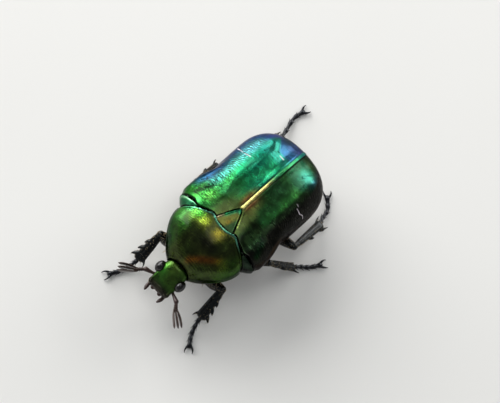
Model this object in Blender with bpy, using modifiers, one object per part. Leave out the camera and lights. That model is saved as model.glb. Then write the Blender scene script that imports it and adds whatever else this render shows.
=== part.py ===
"""Rose chafer (Cetonia aurata), life size, standing on its six feet.

Sizes are in millimetres in the beetle's own frame: y runs from head (-) to tail (+) and is 0 at
the tip of the scutellum, x is positive on the beetle's left, and z is the height over the floor.
new_object() turns them into metres and sets the beetle's middle over the origin.
"""
import math

import bmesh
import bpy
from mathutils import Matrix, Vector

MM = 0.001
GAP = 0.3
BEETLE_SHIFT_X = -1.94
BEETLE_SHIFT_Y = -1.47

# Wing cases
SUTURE_REAR_Y = 9.15
WING_CASE_CORNER_Y = 4.95
WING_CASE_FRONT_Y = -2.05
HUMERUS_FRONT_Y = -2.25
WING_CASE_HALF_WIDTH = 4.56
HUMERUS_BULGE = 0.36
FLANK_SINUATION = 0.13
BACK_TOP_Z = 7.90
SUTURE_TIP_Z = 4.75
WING_CASE_THICKNESS = 0.55
DOME_POWER = 2.5

# Scutellum
SCUTELLUM_HALF_WIDTH = 1.02
SCUTELLUM_BASE_Y = -2.15
SCUTELLUM_DEPTH = 0.95

# Pronotum
PRONOTUM_FRONT_Y = -6.95
PRONOTUM_BASE_Y = -2.47
PRONOTUM_CORNER_Y = -2.9
PRONOTUM_HALF_WIDTH = 3.98
PRONOTUM_FRONT_HALF_WIDTH = 1.38
PRONOTUM_BASE_Z = 7.78
PRONOTUM_FRONT_Z = 5.35

# Head
HEAD_REAR_Y = -7.15
CLYPEUS_FRONT_Y = -9.35
EYE_CENTRE = Vector((1.26, -7.85, 3.95))
EYE_RADII = Vector((0.44, 0.58, 0.62))
ANTENNA_ROOT = Vector((1.36, -8.58, 3.25))
LAMELLA_LENGTH = 1.75
LAMELLA_FAN = 0.10
LAMELLA_PITCH = 0.17

# Trunk
BELLY_Z = 1.35
TRUNK_WAIST_Z = 4.0
TRUNK_INSET = 0.95
THORAX_FRONT_Y = -2.1
THORAX_REAR_Y = 3.0
ABDOMEN_REAR_Y = 8.35
VENTRITES = 6

# Legs
FEMUR_WIDTH = 1.35
FEMUR_DEPTH = 0.95
TARSUS_RADIUS = 0.27
TARSUS_SEGMENTS = 5
SOLE_HEIGHT = 0.15
SPUR_SPREAD = 1.9

UP = Vector((0.0, 0.0, 1.0))

# Distances in metres within which the points that a union or cut leaves are welded
MERGE_DISTANCES = (0.000004, 0.000001, 0.0000001)
# Share of its volume that a piece keeps at least when a neighbour cuts it back
LEAST_KEPT = 0.1
# Share of its volume above which a piece counts as not cut at all
UNTOUCHED = 0.999


def smooth(low, high, value):
    t = min(max((value - low) / (high - low), 0.0), 1.0)
    return t * t * (3.0 - 2.0 * t)


def hump(value, centre, spread):
    return math.exp(-((value - centre) / spread) ** 2)


def mix(a, b, t):
    return a + (b - a) * t


def signed_power(value, power):
    return math.copysign(abs(value) ** power, value)


# Scene set-up
for old in list(bpy.data.objects):
    bpy.data.objects.remove(old, do_unlink=True)
chafer = bpy.data.collections.new("rose_chafer")
bpy.context.scene.collection.children.link(chafer)
workshop = bpy.data.collections.new("cutters")
bpy.context.scene.collection.children.link(workshop)


def finish(name, colour, roughness, metallic):
    material = bpy.data.materials.new(name)
    material.use_nodes = True
    shader = material.node_tree.nodes["Principled BSDF"]
    shader.inputs["Base Color"].default_value = (*colour, 1.0)
    shader.inputs["Roughness"].default_value = roughness
    shader.inputs["Metallic"].default_value = metallic
    return material


WING_GREEN = finish("wing_case_green", (0.02, 0.30, 0.12), 0.28, 0.9)
SHIELD_GREEN = finish("shield_green", (0.06, 0.22, 0.05), 0.25, 0.9)
SCUTELLUM_GREEN = finish("scutellum_green", (0.07, 0.30, 0.10), 0.22, 0.9)
HEAD_GREEN = finish("head_green", (0.05, 0.20, 0.07), 0.35, 0.85)
UNDERSIDE = finish("underside_bronze", (0.10, 0.05, 0.05), 0.35, 0.8)
LEG_BLACK = finish("leg_violet_black", (0.02, 0.015, 0.03), 0.3, 0.6)
EYE_BROWN = finish("eye_dark_brown", (0.03, 0.015, 0.01), 0.15, 0.0)
FEELER_BROWN = finish("feeler_dark", (0.03, 0.02, 0.02), 0.35, 0.2)


def new_object(name, mesh_data, material=None, collection=None):
    """Put a bmesh that is in millimetres into the scene in metres."""
    bmesh.ops.transform(mesh_data, matrix=Matrix.Scale(MM, 4), verts=mesh_data.verts)
    bmesh.ops.recalc_face_normals(mesh_data, faces=mesh_data.faces)
    mesh = bpy.data.meshes.new(name)
    mesh_data.to_mesh(mesh)
    mesh_data.free()
    mesh.shade_smooth()
    if material:
        mesh.materials.append(material)
    obj = bpy.data.objects.new(name, mesh)
    (collection or chafer).objects.link(obj)
    return obj


def loft(name, rings, material, collection=None):
    """Close a row of rings, each with the same number of points, into one body."""
    bm = bmesh.new()
    loops = [[bm.verts.new(point) for point in ring] for ring in rings]
    count = len(rings[0])
    for lower, upper in zip(loops, loops[1:]):
        for i in range(count):
            j = (i + 1) % count
            bm.faces.new((lower[i], lower[j], upper[j], upper[i]))
    bm.faces.new(reversed(loops[0]))
    bm.faces.new(loops[-1])
    return new_object(name, bm, material, collection)


def super_ring(centre, side, up, half_width, rise, drop, power, count):
    """One rounded section: wide along side, rise above its centre and drop below it."""
    ring = []
    for i in range(count):
        angle = 2.0 * math.pi * i / count
        across = half_width * signed_power(math.sin(angle), 2.0 / power)
        height = signed_power(math.cos(angle), 2.0 / power)
        height *= rise if height > 0.0 else drop
        ring.append(centre + side * across + up * height)
    return ring


def limb(name, path, widths, depths, side, material, count=10, power=2.2, collection=None):
    """A leg or feeler piece: rounded sections square to the path through its points."""
    rings = []
    last = len(path) - 1
    for i, point in enumerate(path):
        along = (path[min(i + 1, last)] - path[max(i - 1, 0)]).normalized()
        across = (side - along * side.dot(along)).normalized()
        up = along.cross(across)
        rings.append(super_ring(point, across, up, widths[i] / 2.0, depths[i] / 2.0,
                                depths[i] / 2.0, power, count))
    return loft(name, rings, material, collection)


def ball(name, centre, radii, material, tilt=0.0, collection=None, segments=16):
    bm = bmesh.new()
    bmesh.ops.create_uvsphere(bm, u_segments=segments, v_segments=segments // 2 + 1, radius=1.0)
    place = Matrix.Translation(centre) @ Matrix.Rotation(tilt, 4, "X") @ Matrix.Diagonal((*radii, 1.0))
    bmesh.ops.transform(bm, matrix=place, verts=bm.verts)
    return new_object(name, bm, material, collection)


def spike(name, base, tip, radius, tip_radius=0.06, collection=None, count=6):
    """A tooth or spur: a tapered cone from its sunk base to its tip."""
    along = tip - base
    bm = bmesh.new()
    bmesh.ops.create_cone(bm, cap_ends=True, segments=count, radius1=radius, radius2=tip_radius,
                          depth=along.length)
    turn = along.to_track_quat("Z", "Y").to_matrix().to_4x4()
    bmesh.ops.transform(bm, matrix=Matrix.Translation((base + tip) / 2.0) @ turn, verts=bm.verts)
    return new_object(name, bm, LEG_BLACK, collection or workshop)


def largest_body(mesh, merge_distance):
    """Keep only the biggest closed surface of a mesh."""
    bm = bmesh.new()
    bm.from_mesh(mesh)
    bmesh.ops.remove_doubles(bm, verts=bm.verts, dist=merge_distance)
    bmesh.ops.dissolve_degenerate(bm, edges=bm.edges, dist=merge_distance / 2.0)
    unseen = set(bm.faces)
    shells = []
    while unseen:
        stack = [unseen.pop()]
        shell = []
        while stack:
            face = stack.pop()
            shell.append(face)
            for edge in face.edges:
                for other in edge.link_faces:
                    if other in unseen:
                        unseen.remove(other)
                        stack.append(other)
        shells.append(shell)
    shells.sort(key=lambda shell: sum(face.calc_area() for face in shell))
    scraps = [face for shell in shells[:-1] for face in shell]
    bmesh.ops.delete(bm, geom=scraps, context="FACES")
    bmesh.ops.recalc_face_normals(bm, faces=bm.faces)
    bm.to_mesh(mesh)
    bm.free()


def closed_volume(mesh):
    """Volume of a closed mesh, or 0 where an edge doesn't join two faces."""
    bm = bmesh.new()
    bm.from_mesh(mesh)
    closed = len(bm.faces) > 0 and all(edge.is_manifold for edge in bm.edges)
    volume = bm.calc_volume() if closed else 0.0
    bm.free()
    return volume


def apply_boolean(obj, pieces, operation):
    """Join the pieces to obj, or cut them from it, and remove them."""
    for piece in pieces:
        if piece.name not in workshop.objects:
            for home in list(piece.users_collection):
                home.objects.unlink(piece)
            workshop.objects.link(piece)
    modifier = obj.modifiers.new(operation.lower(), "BOOLEAN")
    modifier.operation = operation
    modifier.operand_type = "COLLECTION"
    modifier.collection = workshop
    before = closed_volume(obj.data)
    least = before * (LEAST_KEPT if operation == "DIFFERENCE" else UNTOUCHED)
    attempts = [(solver, merge) for solver in ("EXACT", "MANIFOLD") for merge in MERGE_DISTANCES]
    result = None
    for solver, merge_distance in attempts:
        modifier.solver = solver
        depsgraph = bpy.context.evaluated_depsgraph_get()
        mesh = bpy.data.meshes.new_from_object(obj.evaluated_get(depsgraph))
        largest_body(mesh, merge_distance)
        volume = closed_volume(mesh)
        if volume > least:
            changed = operation == "UNION" or volume < before * UNTOUCHED
            if changed or result is None:
                result = mesh
            if changed:
                break
    obj.modifiers.clear()
    result.shade_smooth()
    obj.data = result
    for piece in list(workshop.objects):
        bpy.data.objects.remove(piece, do_unlink=True)
    return obj


def fuse(obj, pieces):
    return apply_boolean(obj, pieces, "UNION")


def carve(obj, neighbours, gap=GAP):
    """Cut obj back so that it keeps the gap to each neighbour."""
    for neighbour in neighbours:
        bm = bmesh.new()
        bm.from_mesh(neighbour.data)
        shifts = [vert.normal * (gap * MM * min(vert.calc_shell_factor(), 1.6)) for vert in bm.verts]
        for vert, shift in zip(bm.verts, shifts):
            vert.co += shift
        mesh = bpy.data.meshes.new(neighbour.name + "_grown")
        bm.to_mesh(mesh)
        bm.free()
        cutter = bpy.data.objects.new(mesh.name, mesh)
        cutter.hide_render = True
        cutter.display_type = "WIRE"
        apply_boolean(obj, [cutter], "DIFFERENCE")
    return obj


def flatten_sole(obj):
    """Press what would be under the floor up to it, which leaves a small flat."""
    for vert in obj.data.vertices:
        vert.co.z = max(vert.co.z, 0.0)


# Outlines that the pieces share


def scutellum_half_width(y):
    """Half width of the scutellum: nearly straight sides that run to a blunt tip at y = 0."""
    return SCUTELLUM_HALF_WIDTH * max(min(y / SCUTELLUM_BASE_Y, 1.1), 0.0) ** 0.85


def pronotum_base_y(x):
    """Hind margin of the pronotum: bayed before the scutellum, drawn forward at the corners."""
    bay = 0.36 * hump(abs(x), 1.4, 0.6)
    corner = 0.55 * smooth(2.2, 4.0, abs(x))
    return PRONOTUM_BASE_Y + bay - corner


def wing_case_front_y(x):
    """Front edge of a wing case, which follows the pronotum and then leaves it at the shoulder."""
    beside_pronotum = pronotum_base_y(x) + GAP
    return mix(beside_pronotum, HUMERUS_FRONT_Y, smooth(2.7, 3.6, abs(x)))


def wing_case_half_width(y):
    shoulder = HUMERUS_BULGE * smooth(0.5, -0.9, y) - 0.25 * smooth(-1.5, -2.3, y)
    flank = FLANK_SINUATION * hump(y, 1.3, 1.0)
    return WING_CASE_HALF_WIDTH + shoulder - flank


def margin_z(y):
    """Height of a wing case's outer margin, which is raised behind the shoulder."""
    return mix(4.95, 4.1, smooth(0.6, 3.4, y)) - 0.1 * smooth(3.4, WING_CASE_CORNER_Y, y)


def suture_z(y):
    """Height of the back along the suture: level, then down to the tip."""
    run = max(y - 1.0, 0.0) / (SUTURE_REAR_Y - 1.0)
    fall = (1.0 - min(run, 1.0) ** 2.6) ** 0.625
    return mix(SUTURE_TIP_Z, BACK_TOP_Z, fall) - 0.015 * min(y - 1.0, 0.0) ** 2


def wing_case_relief(x, y):
    """Ridge along the suture with a long dent beside it, shoulder knob and rear knob."""
    rear = smooth(1.5, 4.5, y) * (1.0 - smooth(7.6, 8.9, y))
    ridge = 0.10 * hump(x, 0.0, 0.42)
    dent = -0.15 * hump(x, 1.05, 0.55) * rear
    shoulder = 0.16 * hump(x, 3.75, 0.6) * hump(y, -0.9, 0.8)
    knob = 0.26 * hump(x, 2.75, 0.75) * hump(y, 7.25, 0.75)
    return ridge + dent + shoulder + knob


def wing_case_plan(u, v):
    """Outline place of a point, with the heights of its two ends and its share between them."""
    suture_y = mix(WING_CASE_FRONT_Y, SUTURE_REAR_Y, 1.0 - (1.0 - u) ** 1.6)
    outer_y = mix(HUMERUS_FRONT_Y, WING_CASE_CORNER_Y, u)
    inner_x = scutellum_half_width(suture_y) + GAP * 0.95 if suture_y < 0.0 else GAP / 2.0
    across = math.sin(v * math.pi / 2.0) ** (2.0 / DOME_POWER)
    height = math.cos(v * math.pi / 2.0) ** (2.0 / DOME_POWER) if v < 1.0 else 0.0
    x = mix(inner_x, wing_case_half_width(outer_y), across)
    z = mix(margin_z(outer_y), suture_z(suture_y), height)
    return x, mix(outer_y, suture_y, height), z


def wing_case_point(u, v):
    """A point of the left wing case: u runs from base to tip, v from suture to margin."""
    x, y, z = wing_case_plan(u, v)
    base_x, base_y, _ = wing_case_plan(0.0, v)
    y += (wing_case_front_y(base_x) - base_y) * (1.0 - u) ** 6
    return Vector((x, y, z + wing_case_relief(x, y)))


def pronotum_half_width(y):
    run = max(PRONOTUM_CORNER_Y - y, 0.0) / (PRONOTUM_CORNER_Y - PRONOTUM_FRONT_Y)
    narrowing = (PRONOTUM_HALF_WIDTH - PRONOTUM_FRONT_HALF_WIDTH) * run ** 2.0
    return PRONOTUM_HALF_WIDTH - narrowing - 0.25 * smooth(PRONOTUM_CORNER_Y, -2.4, y)


def pronotum_top_z(y):
    run = min(max(PRONOTUM_BASE_Y - y, 0.0) / (PRONOTUM_BASE_Y - PRONOTUM_FRONT_Y), 1.0)
    return mix(PRONOTUM_FRONT_Z, PRONOTUM_BASE_Z, (1.0 - run ** 2.2) ** 0.75)


def pronotum_ring(t, count):
    """A section of the prothorax: t is 0 at the front and 1 at the hind margin."""
    nominal_y = mix(PRONOTUM_FRONT_Y, PRONOTUM_BASE_Y, t)
    half_width = pronotum_half_width(nominal_y)
    edge_z = mix(4.0, 5.0, smooth(0.0, 0.8, t))
    bottom_z = mix(3.0, 2.35, smooth(0.0, 0.5, t))
    ring = []
    flat = super_ring(Vector((0.0, 0.0, edge_z)), Vector((1.0, 0.0, 0.0)), Vector((0.0, 0.0, 1.0)),
                      half_width, pronotum_top_z(nominal_y) - edge_z, edge_z - bottom_z, 2.3, count)
    for point in flat:
        front_y = PRONOTUM_FRONT_Y + 0.25 - 0.30 * smooth(0.0, 2.2, abs(point.x))
        above = smooth(edge_z - 0.6, edge_z + 0.2, point.z)
        base_y = mix(PRONOTUM_BASE_Y - 0.3, pronotum_base_y(point.x), above)
        ring.append(Vector((point.x, mix(front_y, base_y, t), point.z)))
    return ring


def make_hips(centre, radii):
    """A pair of hip joints that bulge from the underside of the trunk."""
    return [ball("hip", Vector((centre[0] * side, centre[1], centre[2])), radii, UNDERSIDE,
                 segments=12) for side in (-1.0, 1.0)]


# Shield, wing cases and scutellum


def make_prothorax():
    steps = 13
    rings = [pronotum_ring(i / (steps - 1), 40) for i in range(steps)]
    hips = make_hips((1.15, -4.75, 2.15), (0.75, 0.8, 0.9))
    return fuse(loft("prothorax", rings, SHIELD_GREEN), hips)


def make_wing_case(name, side):
    """One wing case: an open skin over the back, made solid by its thickness."""
    rows, columns = 18, 12
    bm = bmesh.new()
    grid = []
    for i in range(rows + 1):
        row = []
        for j in range(columns + 1):
            point = wing_case_point(i / rows, j / columns)
            row.append(bm.verts.new((point.x * side, point.y, point.z)))
        grid.append(row)
    for i in range(rows):
        for j in range(columns):
            corners = (grid[i][j], grid[i][j + 1], grid[i + 1][j + 1], grid[i + 1][j])
            bm.faces.new(corners if side > 0 else tuple(reversed(corners)))
    bmesh.ops.transform(bm, matrix=Matrix.Scale(MM, 4), verts=bm.verts)
    mesh = bpy.data.meshes.new(name)
    bm.to_mesh(mesh)
    bm.free()
    mesh.shade_smooth()
    mesh.materials.append(WING_GREEN)
    obj = bpy.data.objects.new(name, mesh)
    chafer.objects.link(obj)
    shell = obj.modifiers.new("thickness", "SOLIDIFY")
    shell.thickness = WING_CASE_THICKNESS * MM
    shell.offset = -1.0
    shell.use_even_offset = True
    depsgraph = bpy.context.evaluated_depsgraph_get()
    solid = bpy.data.meshes.new_from_object(obj.evaluated_get(depsgraph))
    obj.modifiers.clear()
    obj.data = solid
    return obj


def make_scutellum():
    """A blunt triangle, flush with the back and let down between the wing cases."""
    steps = 7
    rings = []
    for i in range(steps):
        y = mix(SCUTELLUM_BASE_Y + 0.02, -0.16, (i / (steps - 1)) ** 0.85)
        half = max(scutellum_half_width(y), 0.16)
        top = suture_z(y) + 0.02
        base_y = pronotum_base_y(0.0) + GAP
        section = []
        for x, z in ((-half, top - 0.08), (-half * 0.5, top), (0.0, top + 0.02), (half * 0.5, top),
                     (half, top - 0.08), (half * 0.8, top - SCUTELLUM_DEPTH),
                     (-half * 0.8, top - SCUTELLUM_DEPTH)):
            front = base_y + (pronotum_base_y(x) - pronotum_base_y(0.0))
            section.append(Vector((x, mix(front, y, smooth(-0.05, 0.35, i / (steps - 1))), z)))
        rings.append(section)
    return loft("scutellum", rings, SCUTELLUM_GREEN)


# Trunk


def trunk_ring(y, inset, bottom_z, count, power=2.4):
    """A section of the trunk under the wing cases, with its belly side."""
    run = smooth(WING_CASE_CORNER_Y - 0.5, SUTURE_REAR_Y, y)
    half_width = wing_case_half_width(min(y, WING_CASE_CORNER_Y)) - inset
    half_width *= math.sqrt(max(1.0 - (max(y - WING_CASE_CORNER_Y, 0.0) / 4.6) ** 2.4, 0.05))
    top_z = suture_z(y) - inset
    waist_z = mix(TRUNK_WAIST_Z, 4.2, run)
    return super_ring(Vector((0.0, y, waist_z)), Vector((1.0, 0.0, 0.0)), Vector((0.0, 0.0, 1.0)),
                      half_width, top_z - waist_z, waist_z - bottom_z, power, count)


def make_thorax():
    """Middle and hind thorax, with the bosses of the middle and hind hips."""
    stations = (THORAX_FRONT_Y, -1.5, -0.5, 0.8, 2.0, THORAX_REAR_Y)
    bottoms = (2.6, 1.9, 1.45, BELLY_Z, BELLY_Z, 1.5)
    rings = [trunk_ring(y, TRUNK_INSET, bottom, 28) for y, bottom in zip(stations, bottoms)]
    thorax = loft("thorax", rings, UNDERSIDE)
    knob = ball("breast_knob", Vector((0.0, -1.75, 1.75)), (0.45, 0.75, 0.4), UNDERSIDE)
    middle_hips = make_hips((1.3, -0.95, 1.75), (1.0, 0.8, 0.75))
    hind_hips = make_hips((1.5, 2.25, 1.75), (1.6, 0.72, 0.7))
    return fuse(thorax, [knob] + middle_hips + hind_hips)


def make_abdomen():
    """Belly of stepped rings, closed behind by the steep hind plate's seat."""
    rings = []
    start = THORAX_REAR_Y + GAP
    for segment in range(VENTRITES):
        y0 = mix(start, ABDOMEN_REAR_Y, segment / VENTRITES)
        y1 = mix(start, ABDOMEN_REAR_Y, (segment + 1) / VENTRITES)
        for y, step in ((y0, 0.10), (mix(y0, y1, 0.75), 0.0)):
            rise = 2.1 * smooth(5.2, 9.4, y) ** 1.2
            rings.append(trunk_ring(y, TRUNK_INSET + step, BELLY_Z + 0.2 + rise + step, 28))
    rings.append(trunk_ring(ABDOMEN_REAR_Y, TRUNK_INSET + 0.1, BELLY_Z + 1.95, 28))
    return loft("abdomen", rings, UNDERSIDE)


def make_pygidium(neighbours):
    """Hind plate under the tips of the wing cases."""
    plate = ball("pygidium", Vector((0.0, 8.15, 3.95)), (2.55, 0.95, 1.25), UNDERSIDE, -0.35,
                 segments=20)
    return carve(plate, neighbours)


def make_shoulder_plate(name, side, neighbours):
    """Mesepimeron: the small wedge that shows between pronotum and wing case."""
    wedge = ball(name, Vector((3.42 * side, -2.25, 5.0)), (1.02, 0.95, 1.7), SHIELD_GREEN,
                 segments=16)
    return carve(wedge, neighbours)


# Head


def make_head():
    """Head capsule with the flat clypeus in front, its rim turned up and notched."""
    rings = []
    stations = ((0.0, 1.16, 4.92, 2.75), (0.12, 1.22, 4.98, 2.62), (0.35, 1.26, 4.72, 2.55),
                (0.55, 1.22, 4.30, 2.60), (0.75, 1.18, 3.82, 2.66), (0.93, 1.16, 3.42, 2.74),
                (1.0, 1.02, 3.22, 2.86))
    for t, half_width, top, bottom in stations:
        y = mix(HEAD_REAR_Y, CLYPEUS_FRONT_Y, t)
        centre_z = mix(top, bottom, 0.55)
        ring = super_ring(Vector((0.0, y, centre_z)), Vector((1.0, 0.0, 0.0)),
                          Vector((0.0, 0.0, 1.0)), half_width, top - centre_z, centre_z - bottom,
                          2.8, 24)
        notch = 0.16 * t ** 4
        rings.append([Vector((p.x, p.y + notch * hump(p.x, 0.0, 0.45), p.z)) for p in ring])
    head = loft("head", rings, HEAD_GREEN)
    rim_path = []
    for i in range(11):
        angle = mix(-1.25, 1.25, i / 10)
        x = 1.10 * signed_power(math.sin(angle), 0.75)
        y = CLYPEUS_FRONT_Y + 0.14 + 0.16 * hump(x, 0.0, 0.45) + 1.1 * (1.0 - math.cos(angle)) ** 2
        rim_path.append(Vector((x, y, 3.38 + 0.35 * (1.0 - math.cos(angle)))))
    sizes = [0.26] * len(rim_path)
    rim = limb("rim", rim_path, sizes, sizes, Vector((0.0, 0.0, 1.0)), HEAD_GREEN, 6, 2.0)
    return fuse(head, [rim])


def make_mouth(head):
    """Chin plate and the two short feelers of the jaws, under the clypeus."""
    chin = ball("mouthparts", Vector((0.0, -8.35, 2.5)), (0.75, 0.8, 0.55), LEG_BLACK, segments=14)
    palps = []
    for side in (-1.0, 1.0):
        path = [Vector((0.5 * side, -8.5, 2.35)), Vector((0.85 * side, -8.95, 2.1)),
                Vector((0.9 * side, -9.45, 2.0)), Vector((0.8 * side, -9.75, 2.05))]
        palps.append(limb("palp", path, (0.3, 0.36, 0.42, 0.22), (0.3, 0.36, 0.42, 0.22),
                          Vector((0.0, 0.0, 1.0)), LEG_BLACK, 7))
    return carve(fuse(chin, palps), [head])


def mirrored(point, side):
    return Vector((point.x * side, point.y, point.z))


def make_antenna(name, side, sweep, neighbours):
    """Elbowed feeler: long first joint, beaded stalk, club of three leaves."""
    root = mirrored(ANTENNA_ROOT, side)
    elbow = root + Vector((0.62 * side, -0.28, 0.12))
    stalk_end = elbow + Vector((0.62 * side, -0.72 - sweep, 0.16))
    beads = 6
    path = [root, mix(root, elbow, 0.5), elbow]
    sizes = [0.36, 0.44, 0.50]
    for i in range(1, 2 * beads + 1):
        path.append(mix(elbow, stalk_end, i / (2 * beads)))
        sizes.append(0.50 if i % 2 else 0.42)
    feeler = limb(name, path, sizes, sizes, Vector((0.0, 0.0, 1.0)), FEELER_BROWN, 8)
    leaves = []
    heading = (stalk_end - elbow).normalized()
    for fan in (-1.0, 0.0, 1.0):
        turn = Matrix.Rotation(LAMELLA_FAN * fan * side, 3, "Z")
        lie = (turn @ (heading + Vector((0.35 * side, 0.0, 0.0)))).normalized()
        start = stalk_end - lie * 0.16 + lie.cross(UP) * (LAMELLA_PITCH * fan * -side)
        path = [start + lie * (LAMELLA_LENGTH * t) for t in (0.0, 0.2, 0.5, 0.8, 0.95, 1.0)]
        leaves.append(limb("leaf", path, (0.28, 0.52, 0.72, 0.66, 0.42, 0.2),
                           (0.26, 0.36, 0.40, 0.36, 0.28, 0.2), Vector((0.0, 0.0, 1.0)),
                           FEELER_BROWN, 8))
    return carve(fuse(feeler, leaves), neighbours)


# Legs


def make_femur(name, root, knee):
    """Swollen thigh with the small trochanter at its root."""
    stops = (0.0, 0.06, 0.2, 0.42, 0.7, 0.9, 1.0)
    shape = (0.42, 0.58, 0.70, 1.0, 0.92, 0.66, 0.38)
    path = [mix(root, knee, t) for t in stops]
    return limb(name, path, [FEMUR_WIDTH * s for s in shape],
                [FEMUR_DEPTH * mix(0.35, 1.0, s) for s in shape], UP, LEG_BLACK, 12)


def make_tibia(name, knee, ankle, outer, end_width, teeth, spurs):
    """Shin that widens to its end, with teeth along its outer edge and end spurs."""
    stops = (0.0, 0.08, 0.3, 0.6, 0.88, 1.0)
    widths = [mix(0.56, end_width, t ** 1.1) for t in stops]
    depths = [mix(0.52, 0.62, t) for t in stops]
    path = [mix(knee, ankle, t) for t in stops]
    shin = limb(name, path, widths, depths, outer, LEG_BLACK, 10)
    along = (ankle - knee).normalized()
    extras = []
    for t, reach in teeth:
        centre = mix(knee, ankle, t)
        half = mix(0.56, end_width, t ** 1.1) / 2.0
        base = centre + outer * (half - 0.22) - along * 0.12
        extras.append(spike("tooth", base, centre + outer * (half + reach) + along * 0.30, 0.26, 0.08))
    for share, reach in spurs:
        across = share * end_width
        base = ankle + outer * across - along * 0.25
        tip = ankle + outer * (across * SPUR_SPREAD) + along * reach
        extras.append(spike("spur", base, tip, 0.15, 0.05, count=5))
    return fuse(shin, extras)


def along_curve(points, t):
    """Place at share t of a smooth curve through the points (Catmull-Rom)."""
    spans = len(points) - 1
    index = min(int(t * spans), spans - 1)
    local = t * spans - index
    before = points[max(index - 1, 0)]
    start, end = points[index], points[index + 1]
    after = points[min(index + 2, spans)]
    return 0.5 * (2.0 * start + (end - before) * local
                  + (2.0 * before - 5.0 * start + 4.0 * end - after) * local ** 2
                  + (3.0 * start - before - 3.0 * end + after) * local ** 3)


def make_tarsus(name, points):
    """Foot of five joints along the points, with two claws at its end."""
    path = []
    sizes = []
    for segment in range(TARSUS_SEGMENTS):
        for part, size in ((0.0, 0.80), (0.35, 0.92), (0.8, 1.12)):
            path.append(along_curve(points, (segment + part) / TARSUS_SEGMENTS))
            sizes.append(2.0 * TARSUS_RADIUS * size)
    path.append(points[-1].copy())
    sizes.append(2.0 * TARSUS_RADIUS * 0.8)
    foot = limb(name, path, sizes, sizes, UP, LEG_BLACK, 8, 2.0)
    flatten_sole(foot)
    heading = (points[-1] - points[-2]).normalized()
    across = heading.cross(Vector((0.0, 0.0, 1.0))).normalized()
    claws = []
    for turn in (-1.0, 1.0):
        root = points[-1] - heading * 0.30 + across * (0.10 * turn) + UP * 0.03
        tip = points[-1] + heading * 0.78 + across * (0.45 * turn)
        tip.z = 0.09
        claws.append(spike("claw", root, tip, 0.13, 0.05, count=7))
    return fuse(foot, claws)


# Each leg: thigh root, knee, ankle, foot points, shin end width, outer teeth and end spurs
FORE_TEETH = ((0.42, 0.22), (0.68, 0.30), (0.93, 0.36))
MIDDLE_TEETH = ((0.55, 0.12),)
HIND_TEETH = ((0.55, 0.18), (0.95, 0.14))
SPURS = ((0.37, 0.62), (-0.37, 0.72))
LEGS = {
    "fore_right": dict(
        root=Vector((-1.85, -4.95, 1.45)), knee=Vector((-3.42, -5.45, 3.0)),
        ankle=Vector((-3.2, -7.75, 0.95)),
        foot=((-3.3, -8.7, 0.3), (-3.55, -9.6, 0.0), (-4.0, -10.6, 0.0)),
        width=1.05, teeth=FORE_TEETH, spurs=((-0.37, 0.55),)),
    "fore_left": dict(
        root=Vector((1.85, -4.85, 1.45)), knee=Vector((3.95, -4.75, 2.95)),
        ankle=Vector((4.35, -7.2, 0.95)),
        foot=((4.6, -8.1, 0.3), (5.0, -8.95, 0.0), (5.6, -9.75, 0.0)),
        width=1.05, teeth=FORE_TEETH, spurs=((-0.37, 0.55),)),
    "middle_right": dict(
        root=Vector((-2.0, -0.85, 0.85)), knee=Vector((-4.6, 0.4, 3.1)),
        ankle=Vector((-4.5, 3.5, 1.0)),
        foot=((-4.3, 4.5, 0.3), (-3.95, 5.45, 0.0), (-3.7, 6.4, 0.0)),
        width=0.85, teeth=MIDDLE_TEETH, spurs=SPURS),
    "middle_left": dict(
        root=Vector((2.0, -0.85, 0.85)), knee=Vector((5.0, 0.1, 3.1)),
        ankle=Vector((6.6, 2.2, 0.95)),
        foot=((7.1, 3.0, 0.3), (7.7, 3.75, 0.0), (8.2, 4.65, 0.0)),
        width=0.85, teeth=MIDDLE_TEETH, spurs=SPURS),
    "hind_right": dict(
        root=Vector((-2.1, 2.9, 0.95)), knee=Vector((-4.1, 6.05, 2.55)),
        ankle=Vector((-2.75, 9.7, 1.0)),
        foot=((-2.88, 10.9, 0.3), (-3.28, 12.45, 0.0), (-3.15, 13.6, 0.0)),
        width=0.9, teeth=HIND_TEETH, spurs=SPURS),
    "hind_left": dict(
        root=Vector((2.1, 2.65, 0.95)), knee=Vector((5.45, 3.1, 2.65)),
        ankle=Vector((5.5, 6.85, 1.0)),
        foot=((5.2, 7.8, 0.3), (4.95, 8.8, 0.0), (4.1, 9.6, 0.0)),
        width=0.9, teeth=HIND_TEETH, spurs=SPURS),
}


def make_leg(name, spec, trunk):
    """Thigh, shin and foot, each cut back to the gap from what it grows from."""
    root, knee, ankle = spec["root"], spec["knee"], spec["ankle"]
    side = math.copysign(1.0, root.x)
    thigh = carve(make_femur("femur_" + name, root, knee), trunk)
    along = (ankle - knee).normalized()
    outward = Vector((side, 0.0, 0.35 if name.startswith("fore") else 0.0))
    outer = (outward - along * outward.dot(along)).normalized()
    start = knee + along * GAP / 3.0
    shin = make_tibia("tibia_" + name, start, ankle, outer, spec["width"], spec["teeth"],
                      spec["spurs"])
    shin = carve(shin, trunk + [thigh])
    points = [ankle + along * GAP]
    points += [Vector(point) + Vector((0.0, 0.0, SOLE_HEIGHT)) for point in spec["foot"]]
    foot = make_tarsus("tarsus_" + name, points)
    return [thigh, shin, foot]


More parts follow.
